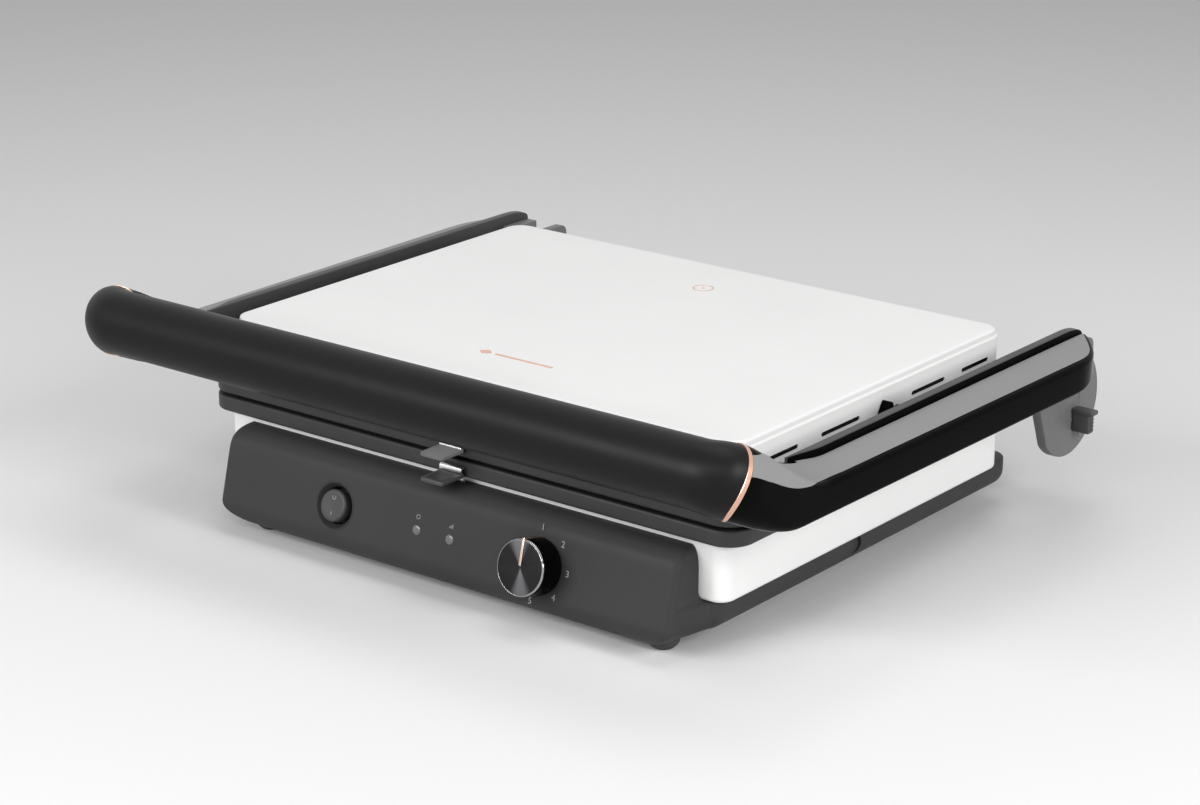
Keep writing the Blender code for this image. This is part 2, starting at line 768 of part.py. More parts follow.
def make_gland(black):
    y = skirt_back - PAN_WALL
    profile = [
        (-y, GLAND_RADIUS - GAP),
        (-y - PAN_WALL * 2, GLAND_RADIUS - GAP),
        (-y - GLAND_LENGTH, GLAND_TIP_RADIUS),
    ]
    gland = turned(profile)
    bmesh.ops.translate(gland, verts=gland.verts, vec=(-GLAND_X, 0, GLAND_LEVEL))
    piece = add_piece("cord_gland", gland, black, frame)
    bore = cylinder(GLAND_BORE, (-GLAND_X, y - OVERRUN, GLAND_LEVEL),
                    (-GLAND_X, y + GLAND_LENGTH + OVERRUN, GLAND_LEVEL), "Y", ARC_STEPS)
    combine(piece, add_cutter("gland_bore", bore, frame))


def make_hinge(black, steel):
    centre = (hinge_back, HINGE_LEVEL)
    low = shell_bottom
    start = shell_back + GAP
    outline = [(start, low), (start + HOUSING_DEPTH, low)]
    outline += arc(centre, HOUSING_RADIUS, -65, 115, ARC_STEPS)
    outline += [(start, low + HOUSING_HEIGHT)]
    half = housing_half
    housing = add_piece("hinge_housing", extrude_side(outline, -half, half), black, frame)
    bore = cylinder(SHAFT_RADIUS + GAP, (-half - OVERRUN, *centre), (half + OVERRUN, *centre), "X")
    combine(housing, add_cutter("shaft_bore", bore, frame))
    reach = disc_face - DISC_CAP - GAP
    shaft = cylinder(SHAFT_RADIUS, (-reach, *centre), (reach, *centre), "X")
    add_piece("hinge_shaft", shaft, steel, frame)


def disc_outline():
    centre = (hinge_back, HINGE_LEVEL)
    top = HINGE_LEVEL + DISC_TOP
    back = hinge_back + DISC_BACK_REACH
    corner = (back - DISC_CORNER, top - DISC_CORNER)
    points = arc(centre, DISC_RADIUS, 211, 398, ARC_STEPS * 2)
    points += arc(corner, DISC_CORNER, 0, 90, SECTION_STEPS)
    points += [(hinge_back - DISC_FRONT_REACH, top)]
    points += [(hinge_back - DISC_FRONT_REACH, top - DISC_CORNER * 2)]
    return points


def make_discs(grey):
    front = hinge_back - ROOT_FRONT
    back = hinge_back - ROOT_BACK
    for side, name in ((-1, "hinge_disc_left"), (1, "hinge_disc_right")):
        inner = disc_face - DISC_THICKNESS
        plate = extrude_side(disc_outline(), side * inner, side * disc_face)
        disc = add_piece(name, plate, grey, handle)
        root = side_box(side, (inner + GAP, front, HINGE_LEVEL + ROOT_LOW),
                        (arm_inner - GAP, back, HINGE_LEVEL + ROOT_HIGH))
        combine(disc, add_cutter(name + "_root", root, frame), "UNION")
        blind = side_bar(side, SHAFT_RADIUS + GAP, inner - OVERRUN, disc_face - DISC_CAP,
                         hinge_back, HINGE_LEVEL)
        combine(disc, add_cutter(name + "_bore", blind, frame))


def side_box(side, low, high):
    # A box given for the right side, mirrored to the left when side is -1
    ends = sorted((side * low[0], side * high[0]))
    return box((ends[0], *low[1:]), (ends[1], *high[1:]))


def side_bar(side, radius, inner, outer, y, z, steps=ROUND_STEPS):
    return cylinder(radius, (side * inner, y, z), (side * outer, y, z), "X", steps)


def ease(t):
    t = min(max(t, 0), 1)
    return t * t * (3 - 2 * t)


def arm_stations():
    # Places in y along the straight part of an arm, from its rounded rear end forward
    stops = []
    for i in range(SECTION_STEPS + 1):
        back = math.sin(i / SECTION_STEPS * math.pi / 2)
        stops.append(arm_back - ARM_END_LENGTH * back)
    stops += [RIDGE_TAPER - ridge_front, -ridge_front]
    stops += [(bend_y - ridge_front) / 2, bend_y]
    return stops


def turn_at(angle):
    return Vector((math.cos(angle), -math.sin(angle), 0))


def climb(y, angle):
    # How far along the climb from the arm to the bar a stop is, from 0 to 1
    run = max(-y - ramp_start, 0) + angle * (BAR_HALF_DEPTH + BEND_CENTRE)
    whole = -bend_y - ramp_start + RING_ANGLE * (BAR_HALF_DEPTH + BEND_CENTRE) * climb_end_share
    return ease(run / whole)


def end_share(y):
    # The rounding of the arm's rear end in plan: 0 at the tip, 1 where the side is straight
    t = min(max((arm_back - y) / ARM_END_LENGTH, 0), 1)
    return math.sqrt(max(1 - (1 - t) ** 2, 0))


def arm_outer(y, angle):
    along = (y - bend_y) / (arm_back - ARM_END_LENGTH - bend_y)
    straight = arm_outer_front + (arm_outer_back - arm_outer_front) * min(max(along, 0), 1)
    side = straight - bend_x
    front = BAR_HALF_DEPTH * 2 + BEND_CENTRE
    share = angle / (math.pi / 2)
    return side + (front - side) * ease(share)


def ridge_width(y):
    # The matte inner ridge narrows to nothing at its front end
    t = ease((-y - ridge_front + RIDGE_TAPER) / RIDGE_TAPER)
    return ARM_RIDGE + (RIDGE_TIP - ARM_RIDGE) * t


def section(low_r, high_r, low_w, high_w, slope, blend, edge):
    # A rounded box that becomes an ellipse as blend goes from 0 to 1; (reach, height) pairs
    mid_r = (low_r + high_r) / 2
    mid_w = (low_w + high_w) / 2
    half_r = (high_r - low_r) / 2
    half_w = (high_w - low_w) / 2
    points = []
    count = 4 * SECTION_STEPS
    for i in range(count):
        quarter = i // SECTION_STEPS
        within = (i % SECTION_STEPS) / (SECTION_STEPS - 1)
        turn = math.radians(-90 + 90 * (quarter + within))
        even = math.radians(-90 + 360 * (i + 0.5) / count)
        sign_r = 1 if quarter in (0, 1) else -1
        sign_w = 1 if quarter in (1, 2) else -1
        box_r = mid_r + sign_r * (half_r - edge) + edge * math.cos(turn)
        box_w = mid_w + sign_w * (half_w - edge) + edge * math.sin(turn)
        if sign_w > 0:
            box_w -= slope * (box_r - low_r)
        round_r = mid_r + half_r * math.cos(even)
        round_w = mid_w + half_w * math.sin(even)
        points.append((box_r + (round_r - box_r) * blend, box_w + (round_w - box_w) * blend))
    return points


def cover_section(y, angle):
    blend = climb(y, angle)
    share = end_share(y)
    ridge = (ridge_width(y) + GAP) * (1 - ease((-y - ridge_front) / RIDGE_TAPER))
    low_r = BEND_CENTRE + ridge
    full = arm_outer(y, angle)
    high_r = low_r + ARM_EDGE * 2 + (full - low_r - ARM_EDGE * 2) * share
    half = ARM_HEIGHT / 2
    drop = ARM_RISER + STRIP_THICKNESS + GAP
    low_w = -half + ARM_END_LIFT * (1 - share)
    high_w = half - drop * (1 - blend)
    low_w -= (BAR_HALF_HEIGHT - half) * blend
    high_w += (BAR_HALF_HEIGHT - half) * blend
    return section(low_r, high_r, low_w, high_w, ARM_SLOPE, blend, ARM_EDGE)


def offset_section(points, distance):
    count = len(points)
    moved = []
    for i in range(count):
        before = points[i - 1]
        after = points[(i + 1) % count]
        along = Vector((after[0] - before[0], after[1] - before[1])).normalized()
        moved.append((points[i][0] + along.y * distance, points[i][1] - along.x * distance))
    return moved


def place_section(points, side, y, angle, lift):
    # Stands a section upright at a stop; reach runs outwards from the bend's upright line
    out = turn_at(angle)
    placed = []
    for reach, height in points:
        x = side * (bend_x + out.x * reach)
        placed.append((x, y + out.y * reach, lift + height))
    return placed


def lift_at(y, angle):
    return arm_mid + BAR_RISE * climb(y, angle)


def cover_stops(last):
    # Stops along an arm and its bend as (y, turn), the turn being 0 on the arm
    stops = [(y, 0) for y in arm_stations()]
    for i in range(1, BEND_STEPS + 1):
        stops.append((bend_y, last * i / BEND_STEPS))
    return stops


def make_arms(gloss, matte, satin):
    last = RING_ANGLE - RING_HALF_ANGLE * ring_room_share
    for side, word in ((-1, "left"), (1, "right")):
        rings = []
        strip = []
        for y, angle in cover_stops(last):
            points = cover_section(y, angle)
            rings.append(place_section(points, side, y, angle, lift_at(y, angle)))
            low = offset_section(points, GAP)
            high = offset_section(points, GAP + STRIP_THICKNESS)
            first = SECTION_STEPS + 1
            final = SECTION_STEPS * 2
            band = high[first:final + 1] + list(reversed(low[first:final + 1]))
            strip.append(place_section(band, side, y, angle, lift_at(y, angle)))
        add_piece("arm_cover_" + word, loft(rings), gloss, handle)
        add_piece("arm_strip_" + word, loft(strip), satin, handle)
        make_arm_frame(side, "arm_frame_" + word, matte)
        make_ring(side, "trim_ring_" + word)


def make_arm_frame(side, name, matte):
    rings = []
    half = ARM_HEIGHT / 2
    for y in arm_stations():
        if y < -ridge_front:
            continue
        width = ridge_width(y)
        low = -half + ARM_END_LIFT * (1 - end_share(y))
        edge = min(ARM_EDGE, width) / 3
        points = section(BEND_CENTRE, BEND_CENTRE + width, low, half, 0, 0, edge)
        rings.append(place_section(points, side, y, 0, arm_mid))
    arm = add_piece(name, loft(rings), matte, handle)
    bore = side_bar(side, PIVOT_PIN_RADIUS + GAP, arm_inner - OVERRUN, arm_inner + ARM_RIDGE / 2,
                    PIVOT_BACK, PIVOT_LEVEL, ARC_STEPS)
    combine(arm, add_cutter(name + "_bore", bore, frame))


def make_ring(side, name):
    rings = []
    for angle in (RING_ANGLE - RING_HALF_ANGLE, RING_ANGLE + RING_HALF_ANGLE):
        points = offset_section(cover_section(bend_y, angle), TRIM_PROUD)
        rings.append(place_section(points, side, bend_y, angle, lift_at(bend_y, angle)))
    add_piece(name, loft(rings), rose, handle)


def bar_oval(angle):
    # The bar's centre reach and half sizes at a turn of the bend
    points = cover_section(bend_y, angle)
    reaches = [p[0] for p in points]
    half_w = ARM_HEIGHT / 2 + (BAR_HALF_HEIGHT - ARM_HEIGHT / 2) * climb(bend_y, angle)
    return (min(reaches) + max(reaches)) / 2, (max(reaches) - min(reaches)) / 2, half_w


def slice_section(angle, start, end, steps):
    # The part of the bar's oval between two directions, closed by a straight chord
    middle, half_r, half_w = bar_oval(angle)
    points = []
    for i in range(steps + 1):
        turn = start + (end - start) * i / steps
        points.append((middle + half_r * math.cos(turn), half_w * math.sin(turn)))
    return points


def bar_stops():
    first = RING_ANGLE + RING_HALF_ANGLE * ring_room_share
    turns = [first + (math.pi / 2 - first) * i / SECTION_STEPS for i in range(SECTION_STEPS + 1)]
    right = [(1, turn) for turn in turns]
    return right + [(-1, turn) for turn in reversed(turns)]


def make_bar(matte, gloss):
    top = math.pi / 2 + SPLIT_TILT
    bottom = top - math.pi
    aside = (TRIM_THICKNESS / 2 + GAP) / BAR_HALF_HEIGHT
    plate = TRIM_THICKNESS / 2 / BAR_HALF_HEIGHT
    front = []
    back = []
    trim = []
    for side, angle in bar_stops():
        lift = lift_at(bend_y, angle)
        grip = slice_section(angle, bottom + aside, top - aside, ARC_STEPS)
        rear = slice_section(angle, top + aside, bottom + 2 * math.pi - aside, ARC_STEPS)
        line = slice_section(angle, top - plate, top + plate, 1)
        line += slice_section(angle, bottom + 2 * math.pi - plate, bottom + 2 * math.pi + plate, 1)
        line = offset_section(line, TRIM_PROUD)
        front.append(place_section(grip, side, bend_y, angle, lift))
        back.append(place_section(rear, side, bend_y, angle, lift))
        trim.append(place_section(line, side, bend_y, angle, lift))
    add_piece("grip_front", loft(front), matte, handle)
    add_piece("grip_back", loft(back), gloss, handle)
    add_piece("grip_trim", loft(trim), rose, handle)


def make_pivots(black, steel):
    for side, word in ((-1, "left"), (1, "right")):
        outer = arm_inner - GAP * 3
        boss = side_bar(side, PIVOT_BOSS_RADIUS, lid_half + GAP, outer, PIVOT_BACK, PIVOT_LEVEL)
        piece = add_piece("lid_pivot_" + word, boss, black, lid)
        bite = outer - PIVOT_PIN_BITE
        bore = side_bar(side, PIVOT_PIN_RADIUS + GAP, bite - GAP, outer + OVERRUN,
                        PIVOT_BACK, PIVOT_LEVEL, ARC_STEPS)
        combine(piece, add_cutter("pivot_bore_" + word, bore, frame))
        pin = side_bar(side, PIVOT_PIN_RADIUS, bite, arm_inner + ARM_RIDGE / 2 - GAP,
                       PIVOT_BACK, PIVOT_LEVEL, ARC_STEPS)
        add_piece("pivot_pin_" + word, pin, steel, handle)


def lid_rings():
    # Down the stepped edge, under the open bottom and up the inside
    outline = (lid_half, lid_reach, lid_reach, LID_CORNER)
    rings = []
    for drop, inset in lid_round_shares:
        rings.append(inset_ring(outline, lid_top - LID_STEP * drop, LID_EDGE * inset))
    rings += [
        inset_ring(outline, lid_bottom, 0),
        inset_ring(outline, lid_bottom, LID_WALL),
        inset_ring(outline, lid_top - LID_STEP - LID_WALL, LID_WALL),
        inset_ring(outline, lid_top - LID_WALL, LID_EDGE + LID_WALL),
    ]
    return rings


def make_lid(white):
    cover = add_piece("lid_cover", loft(lid_rings()), white, lid)
    level = lid_bottom + SLOT_LEVEL
    half = SLOT_HEIGHT / 2
    spans = (
        (-SLOT_OUTER_START - SLOT_OUTER_LENGTH, -SLOT_OUTER_START),
        (-SLOT_INNER_START - SLOT_INNER_LENGTH, -SLOT_INNER_START),
        (SLOT_INNER_BACK, SLOT_INNER_BACK + SLOT_INNER_LENGTH),
        (SLOT_OUTER_BACK, SLOT_OUTER_BACK + SLOT_OUTER_LENGTH),
    )
    cuts = bmesh.new()
    for side in (-1, 1):
        for front, back in spans:
            inner = lid_half - LID_WALL - OVERRUN
            merge(cuts, side_box(side, (inner, front, level - half),
                                 (lid_half + OVERRUN, back, level + half)))
    combine(cover, add_cutter("lid_slots", cuts, frame))


def make_lid_inside(black, steel, dark):
    inset = LID_WALL + GAP
    outline = (lid_half - inset, lid_reach - inset, lid_reach - inset,
               LID_CORNER - inset)
    high = lid_bottom + FRAME_HEIGHT
    rings = [
        inset_ring(outline, lid_bottom, 0),
        inset_ring(outline, high, 0),
        inset_ring(outline, high, FRAME_WALL),
        inset_ring(outline, lid_bottom, FRAME_WALL),
    ]
    add_piece("lid_frame", loft(rings, closed=True), black, lid)
    tray_low = high + GAP
    add_piece("upper_reflector",
              tray(outline, tray_low + TRAY_RISE, tray_low, TRAY_THICKNESS), steel, lid)
    heater_z = upper_rim_top + GAP + HEATER_RADIUS
    make_heater("upper_heater", heater_z, dark, lid)


def make_latch(word, seat, clip_low, clip_high, tab_low, steel, black):
    near = plate_front + GAP
    far = near + LATCH_SHEET
    half = LATCH_WIDTH / 2
    clip = rounded_block((-half, -far, clip_low), (half, -near, clip_high), LATCH_SHEET / 4)
    add_piece("latch_clip_" + word, clip, steel, seat)
    half = LATCH_TAB_WIDTH / 2
    start = far + GAP
    tab = rounded_block((-half, -start - LATCH_TAB_LENGTH, tab_low),
                        (half, -start, tab_low + LATCH_TAB_HEIGHT), LATCH_SHEET / 3)
    add_piece("latch_tab_" + word, tab, black, seat)


def make_lever(black):
    y = hinge_back + LEVER_BACK
    z = HINGE_LEVEL - LEVER_DROP
    low = disc_face + GAP
    block = rounded_block((low, y - LEVER_DEPTH / 2, z - LEVER_HEIGHT / 2),
                          (low + LEVER_LENGTH, y + LEVER_DEPTH / 2, z + LEVER_HEIGHT / 2),
                          LEVER_EDGE)
    add_piece("release_lever", block, black, lever_slide)


clear_scene()
part_group = new_collection("contact_grill")
cutter_group = new_collection("cutters")

white = make_material("white_enamel", (0.84, 0.84, 0.83), 0.3)
panel_black = make_material("panel_black", (0.045, 0.045, 0.047), 0.5)
gloss_black = make_material("gloss_black", (0.012, 0.012, 0.013), 0.15)
matte_black = make_material("matte_black", (0.02, 0.02, 0.021), 0.55)
grip_black = make_material("grip_black", (0.025, 0.025, 0.026), 0.45)
cast_black = make_material("coated_plate", (0.035, 0.035, 0.037), 0.45)
satin_grey = make_material("satin_grey", (0.33, 0.33, 0.34), 0.35, 0.6)
disc_grey = make_material("disc_grey", (0.13, 0.13, 0.135), 0.45)
rose = make_material("rose_gold", (0.72, 0.43, 0.33), 0.25, 1.0)
steel = make_material("steel", (0.55, 0.56, 0.57), 0.3, 1.0)
heater_dark = make_material("heater_sheath", (0.12, 0.12, 0.12), 0.5, 0.8)
rubber = make_material("rubber", (0.05, 0.05, 0.05), 0.8)
lens = make_material("lamp_lens", (0.2, 0.2, 0.2), 0.3)
brushed = make_material("brushed_black", (0.06, 0.06, 0.065), 0.3, 0.9)

pivots = []
frame = add_empty("grill_frame", (0, frame_y, 0))
handle = add_empty("handle_hinge", (0, hinge_back, HINGE_LEVEL), frame)
lid = add_empty("lid_tilt", (0, PIVOT_BACK, PIVOT_LEVEL), frame)
latch_y = -(plate_front + GAP + LATCH_SHEET / 2)
upper_clip_high = upper_rim_top - GAP * 2
upper_clip_low = upper_clip_high - UPPER_LATCH_HEIGHT
lower_clip_high = lower_rim_top - LOWER_LATCH_DROP
lower_clip_low = lower_clip_high - LOWER_LATCH_HEIGHT
upper_latch = add_empty("upper_latch_hinge", (0, latch_y, upper_clip_high), frame)
lower_latch = add_empty("lower_latch_hinge", (0, latch_y, lower_clip_low), frame)
lever_place = (disc_face, hinge_back + LEVER_BACK, HINGE_LEVEL - LEVER_DROP)
lever_slide = add_empty("release_slide", lever_place, frame)
pivots += [handle, lid, upper_latch, lower_latch, lever_slide]
knob_seat = add_empty("knob_turn", (KNOB_X, panel_face, panel_mid), frame, -PANEL_LEAN)
switch_seat = add_empty("switch_seat", (-SWITCH_X, panel_face, panel_mid), frame, -PANEL_LEAN)
rocker_axis = add_empty("rocker_hinge", (0, ROCKER_PLAY, 0), switch_seat, -ROCKER_REST)

make_base_pan(panel_black)
make_bottom(matte_black, steel)
make_feet(rubber)
make_shell(white)
make_plate("lower_plate", lower_rim_bottom, lower_rim_top, 1, cast_black, frame)
make_lower_inside(steel, matte_black, heater_dark)
make_lamps(lens)
make_switch(matte_black, panel_black)
make_knob(gloss_black, brushed, rose)
make_gland(matte_black)
make_hinge(matte_black, steel)
make_discs(disc_grey)
make_arms(gloss_black, matte_black, satin_grey)
make_bar(grip_black, gloss_black)
make_pivots(matte_black, steel)
make_lid(white)
make_plate("upper_plate", upper_rim_top, upper_rim_bottom, -1, cast_black, lid)
make_lid_inside(matte_black, steel, heater_dark)
make_latch("upper", upper_latch, upper_clip_low, upper_clip_high,
           upper_clip_low + UPPER_TAB_LEVEL, steel, matte_black)
make_latch("lower", lower_latch, lower_clip_low, lower_clip_high,
           lower_clip_low + LOWER_TAB_LEVEL, steel, matte_black)
make_lever(matte_black)
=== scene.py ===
# Looks of a contact grill with a floating lid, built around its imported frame.
# Metres, +Z up, the front towards -Y. The shape functions count y from the lid's middle,
# and newPiece moves each finished mesh there by lidMiddle.

import math

import bmesh
import bpy
from mathutils import Matrix, Vector


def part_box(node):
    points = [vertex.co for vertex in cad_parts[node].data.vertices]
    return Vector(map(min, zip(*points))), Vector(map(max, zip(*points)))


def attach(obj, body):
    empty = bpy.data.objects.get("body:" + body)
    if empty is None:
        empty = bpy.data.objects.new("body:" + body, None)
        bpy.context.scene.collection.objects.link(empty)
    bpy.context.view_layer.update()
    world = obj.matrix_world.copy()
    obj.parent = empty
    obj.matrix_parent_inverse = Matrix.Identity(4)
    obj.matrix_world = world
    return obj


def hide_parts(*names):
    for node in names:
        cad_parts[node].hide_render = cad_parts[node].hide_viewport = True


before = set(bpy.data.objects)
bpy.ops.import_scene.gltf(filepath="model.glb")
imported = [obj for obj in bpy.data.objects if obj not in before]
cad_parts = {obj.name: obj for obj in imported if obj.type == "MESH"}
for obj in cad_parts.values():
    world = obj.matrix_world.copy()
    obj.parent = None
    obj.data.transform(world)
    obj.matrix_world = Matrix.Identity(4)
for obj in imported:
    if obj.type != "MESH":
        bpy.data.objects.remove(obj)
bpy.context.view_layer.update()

lidLow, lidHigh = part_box("lid_cover")
lidMiddle = (lidLow.y + lidHigh.y) / 2
print("frame loaded,", len(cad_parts), "nodes")


# Node trees. A node is "Kind", "Kind OPERATION" or such a text with values, where a value with a
# small first letter is a setting of the node and any other one of its inputs. Links are written
# "node.socket > node.socket"
def fillTree(tree, nodes, links, known):
    places = dict(known)
    for index, (key, node) in enumerate(nodes.items()):
        kind, values = (node, {}) if isinstance(node, str) else node
        kind, *operation = kind.split()
        node = tree.nodes.new("ShaderNode" + kind)
        node.location = (200 * index, 0)
        if operation:
            node.operation = operation[0]
        for title, value in values.items():
            if str(title)[0].islower():
                setattr(node, title, value)
            else:
                node.inputs[title].default_value = value
        places[key] = node
    for link in links.split(", "):
        ends = []
        for text, side in zip(link.split(" > "), ("outputs", "inputs")):
            key, title = text.split(".")
            sockets = getattr(places[key], side)
            ends.append(sockets[int(title) if title.isdigit() else title])
        tree.links.new(*ends)


def newGroup(name, inputs, outputs, nodes, links):
    tree = bpy.data.node_groups.new(name, "ShaderNodeTree")
    for title, kind, *value in inputs:
        socket = tree.interface.new_socket(title, in_out="INPUT", socket_type="NodeSocket" + kind)
        if value:
            socket.default_value = value[0]
    for title, kind in outputs:
        tree.interface.new_socket(title, in_out="OUTPUT", socket_type="NodeSocket" + kind)
    start, end = tree.nodes.new("NodeGroupInput"), tree.nodes.new("NodeGroupOutput")
    start.location, end.location = (-200, 0), (200 * len(nodes), 0)
    fillTree(tree, nodes, links, {"in": start, "out": end})
    return tree


# Blends a second tone into the first in soft clouds
toneDrift = newGroup(
    "toneDrift",
    [("Vector", "Vector"), ("Colour", "Color"), ("Second colour", "Color"),
     ("Scale", "Float", 20.0), ("Spread", "Float", 0.25)],
    [("Colour", "Color")],
    {"noise": ("TexNoise", {"Detail": 3}),
     "low": ("Math SUBTRACT", {0: 0.5}),
     "high": ("Math ADD", {0: 0.5}),
     "ramp": "MapRange",
     "mix": ("Mix", {"data_type": "RGBA"})},
    "in.Vector > noise.Vector, in.Scale > noise.Scale, in.Spread > low.1, in.Spread > high.1, "
    "noise.Fac > ramp.Value, low.0 > ramp.From Min, high.0 > ramp.From Max, "
    "ramp.Result > mix.Factor, in.Colour > mix.A, in.Second colour > mix.B, "
    "mix.Result > out.Colour")

# Roughness that wanders between two values, as handled and moulded surfaces do
sheenDrift = newGroup(
    "sheenDrift",
    [("Vector", "Vector"), ("Low", "Float", 0.3), ("High", "Float", 0.4), ("Scale", "Float", 12.0)],
    [("Roughness", "Float")],
    {"noise": ("TexNoise", {"Detail": 4}),
     "ramp": ("MapRange", {"From Min": 0.3, "From Max": 0.7})},
    "in.Vector > noise.Vector, in.Scale > noise.Scale, noise.Fac > ramp.Value, "
    "in.Low > ramp.To Min, in.High > ramp.To Max, ramp.Result > out.Roughness")

# Height of a moulded or sprayed skin: fine pores over a slower ripple
fineGrain = newGroup(
    "fineGrain",
    [("Vector", "Vector"), ("Pore scale", "Float", 1500.0), ("Ripple scale", "Float", 120.0),
     ("Ripple share", "Float", 0.3)],
    [("Height", "Float")],
    {"pores": ("TexNoise", {"Detail": 2}),
     "ripple": ("TexNoise", {"Detail": 1}),
     "mix": ("Mix", {"data_type": "FLOAT"})},
    "in.Vector > pores.Vector, in.Vector > ripple.Vector, in.Pore scale > pores.Scale, "
    "in.Ripple scale > ripple.Scale, in.Ripple share > mix.Factor, pores.Fac > mix.A, "
    "ripple.Fac > mix.B, mix.Result > out.Height")

# Fine lines along one direction: Stretch is small along the lines and large across
brushLines = newGroup(
    "brushLines",
    [("Vector", "Vector"), ("Stretch", "Vector", (20, 900, 900))],
    [("Height", "Float")],
    {"scaled": "VectorMath MULTIPLY",
     "noise": ("TexNoise", {"Scale": 1, "Detail": 3})},
    "in.Vector > scaled.0, in.Stretch > scaled.1, scaled.Vector > noise.Vector, "
    "noise.Fac > out.Height")

# Painted glints: light and dark wedges about the local Y axis, painted into the colour in place of
# the highlights of a radially brushed cap, with fine lathe rings as a height
paintedGlintWedges = newGroup(
    "paintedGlintWedges",
    [("Vector", "Vector"), ("Dark", "Color"), ("Light", "Color"), ("Turn", "Float", 0.22)],
    [("Colour", "Color"), ("Height", "Float")],
    {"parts": "SeparateXYZ",
     "angle": "Math ARCTAN2",
     "turned": "Math ADD",
     "twice": ("Math MULTIPLY", {1: 2}),
     "wide": "Math COSINE",
     "fourfold": ("Math MULTIPLY", {1: 4}),
     "narrow": "Math COSINE",
     "total": "Math ADD",
     "ramp": ("MapRange", {"interpolation_type": "SMOOTHSTEP", "From Min": -0.2, "From Max": 2.0}),
     "mix": ("Mix", {"data_type": "RGBA"}),
     "reach": "VectorMath LENGTH",
     "fine": ("Math MULTIPLY", {1: 9000}),
     "groove": "Math SINE"},
    "in.Vector > parts.0, parts.X > angle.0, parts.Z > angle.1, angle.0 > turned.0, "
    "in.Turn > turned.1, turned.0 > twice.0, twice.0 > wide.0, turned.0 > fourfold.0, "
    "fourfold.0 > narrow.0, wide.0 > total.0, narrow.0 > total.1, total.0 > ramp.Value, "
    "ramp.Result > mix.Factor, in.Dark > mix.A, in.Light > mix.B, mix.Result > out.Colour, "
    "in.Vector > reach.0, reach.Value > fine.0, fine.0 > groove.0, groove.0 > out.Height")


# Finishes. Each starts from the same chain: tone drift, sheen drift and a grain under the shader
def newFinish(name, look):
    finish = bpy.data.materials.new(name)
    finish.use_nodes = True
    finish.diffuse_color = (*look["colour"], 1)
    shader = finish.node_tree.nodes["Principled BSDF"]
    shader.location = (1200, 0)
    for title, value in (("Metallic", look.get("metal", 0)), ("Coat Roughness", 0.05),
                         ("Specular IOR Level", look.get("gloss", 0.5)),
                         ("Coat Weight", look.get("coat", 0))):
        shader.inputs[title].default_value = value
    skin = {"node_tree": fineGrain, "Pore scale": look.get("pores", 1500),
            "Ripple scale": look.get("ripple", 120), "Ripple share": look.get("rippleShare", 0.3)}
    if "stretch" in look:
        skin = {"node_tree": brushLines, "Stretch": look["stretch"]}
    nodes = {
        "place": "TexCoord",
        "tone": ("Group", {
            "node_tree": toneDrift, "Colour": (*look["colour"], 1),
            "Second colour": (*look["second"], 1), "Scale": look.get("toneScale", 14)}),
        "sheen": ("Group", {"node_tree": sheenDrift, "Low": look["rough"][0],
                            "High": look["rough"][1], "Scale": 25}),
        "skin": ("Group", skin),
        "bump": ("Bump", {"Strength": look.get("bump", 0.1),
                          "Distance": look.get("bumpDepth", 0.0002)})}
    links = ("place.Object > tone.Vector, place.Object > sheen.Vector, place.Object > skin.Vector, "
             "tone.Colour > shader.Base Color, sheen.Roughness > shader.Roughness, "
             "skin.Height > bump.Height, bump.Normal > shader.Normal")
    # A finish with glints takes painted glint wedges as its base colour, in place of the tone
    # drift, and lathe rings as its bump
    if "glints" in look:
        dark, light = look["glints"]
        nodes["glints"] = ("Group", {
            "node_tree": paintedGlintWedges, "Dark": (*dark, 1), "Light": (*light, 1)})
        links += (", place.Object > glints.Vector, glints.Colour > shader.Base Color, "
                  "glints.Height > bump.Height")
    fillTree(finish.node_tree, nodes, links, {"shader": shader})
    return finish


def greys(first, second, blue=0.0):
    # Two greys, each with its blue lifted a little
    return {"colour": (first, first, round(first + blue, 5)),
            "second": (second, second, round(second + blue, 5))}


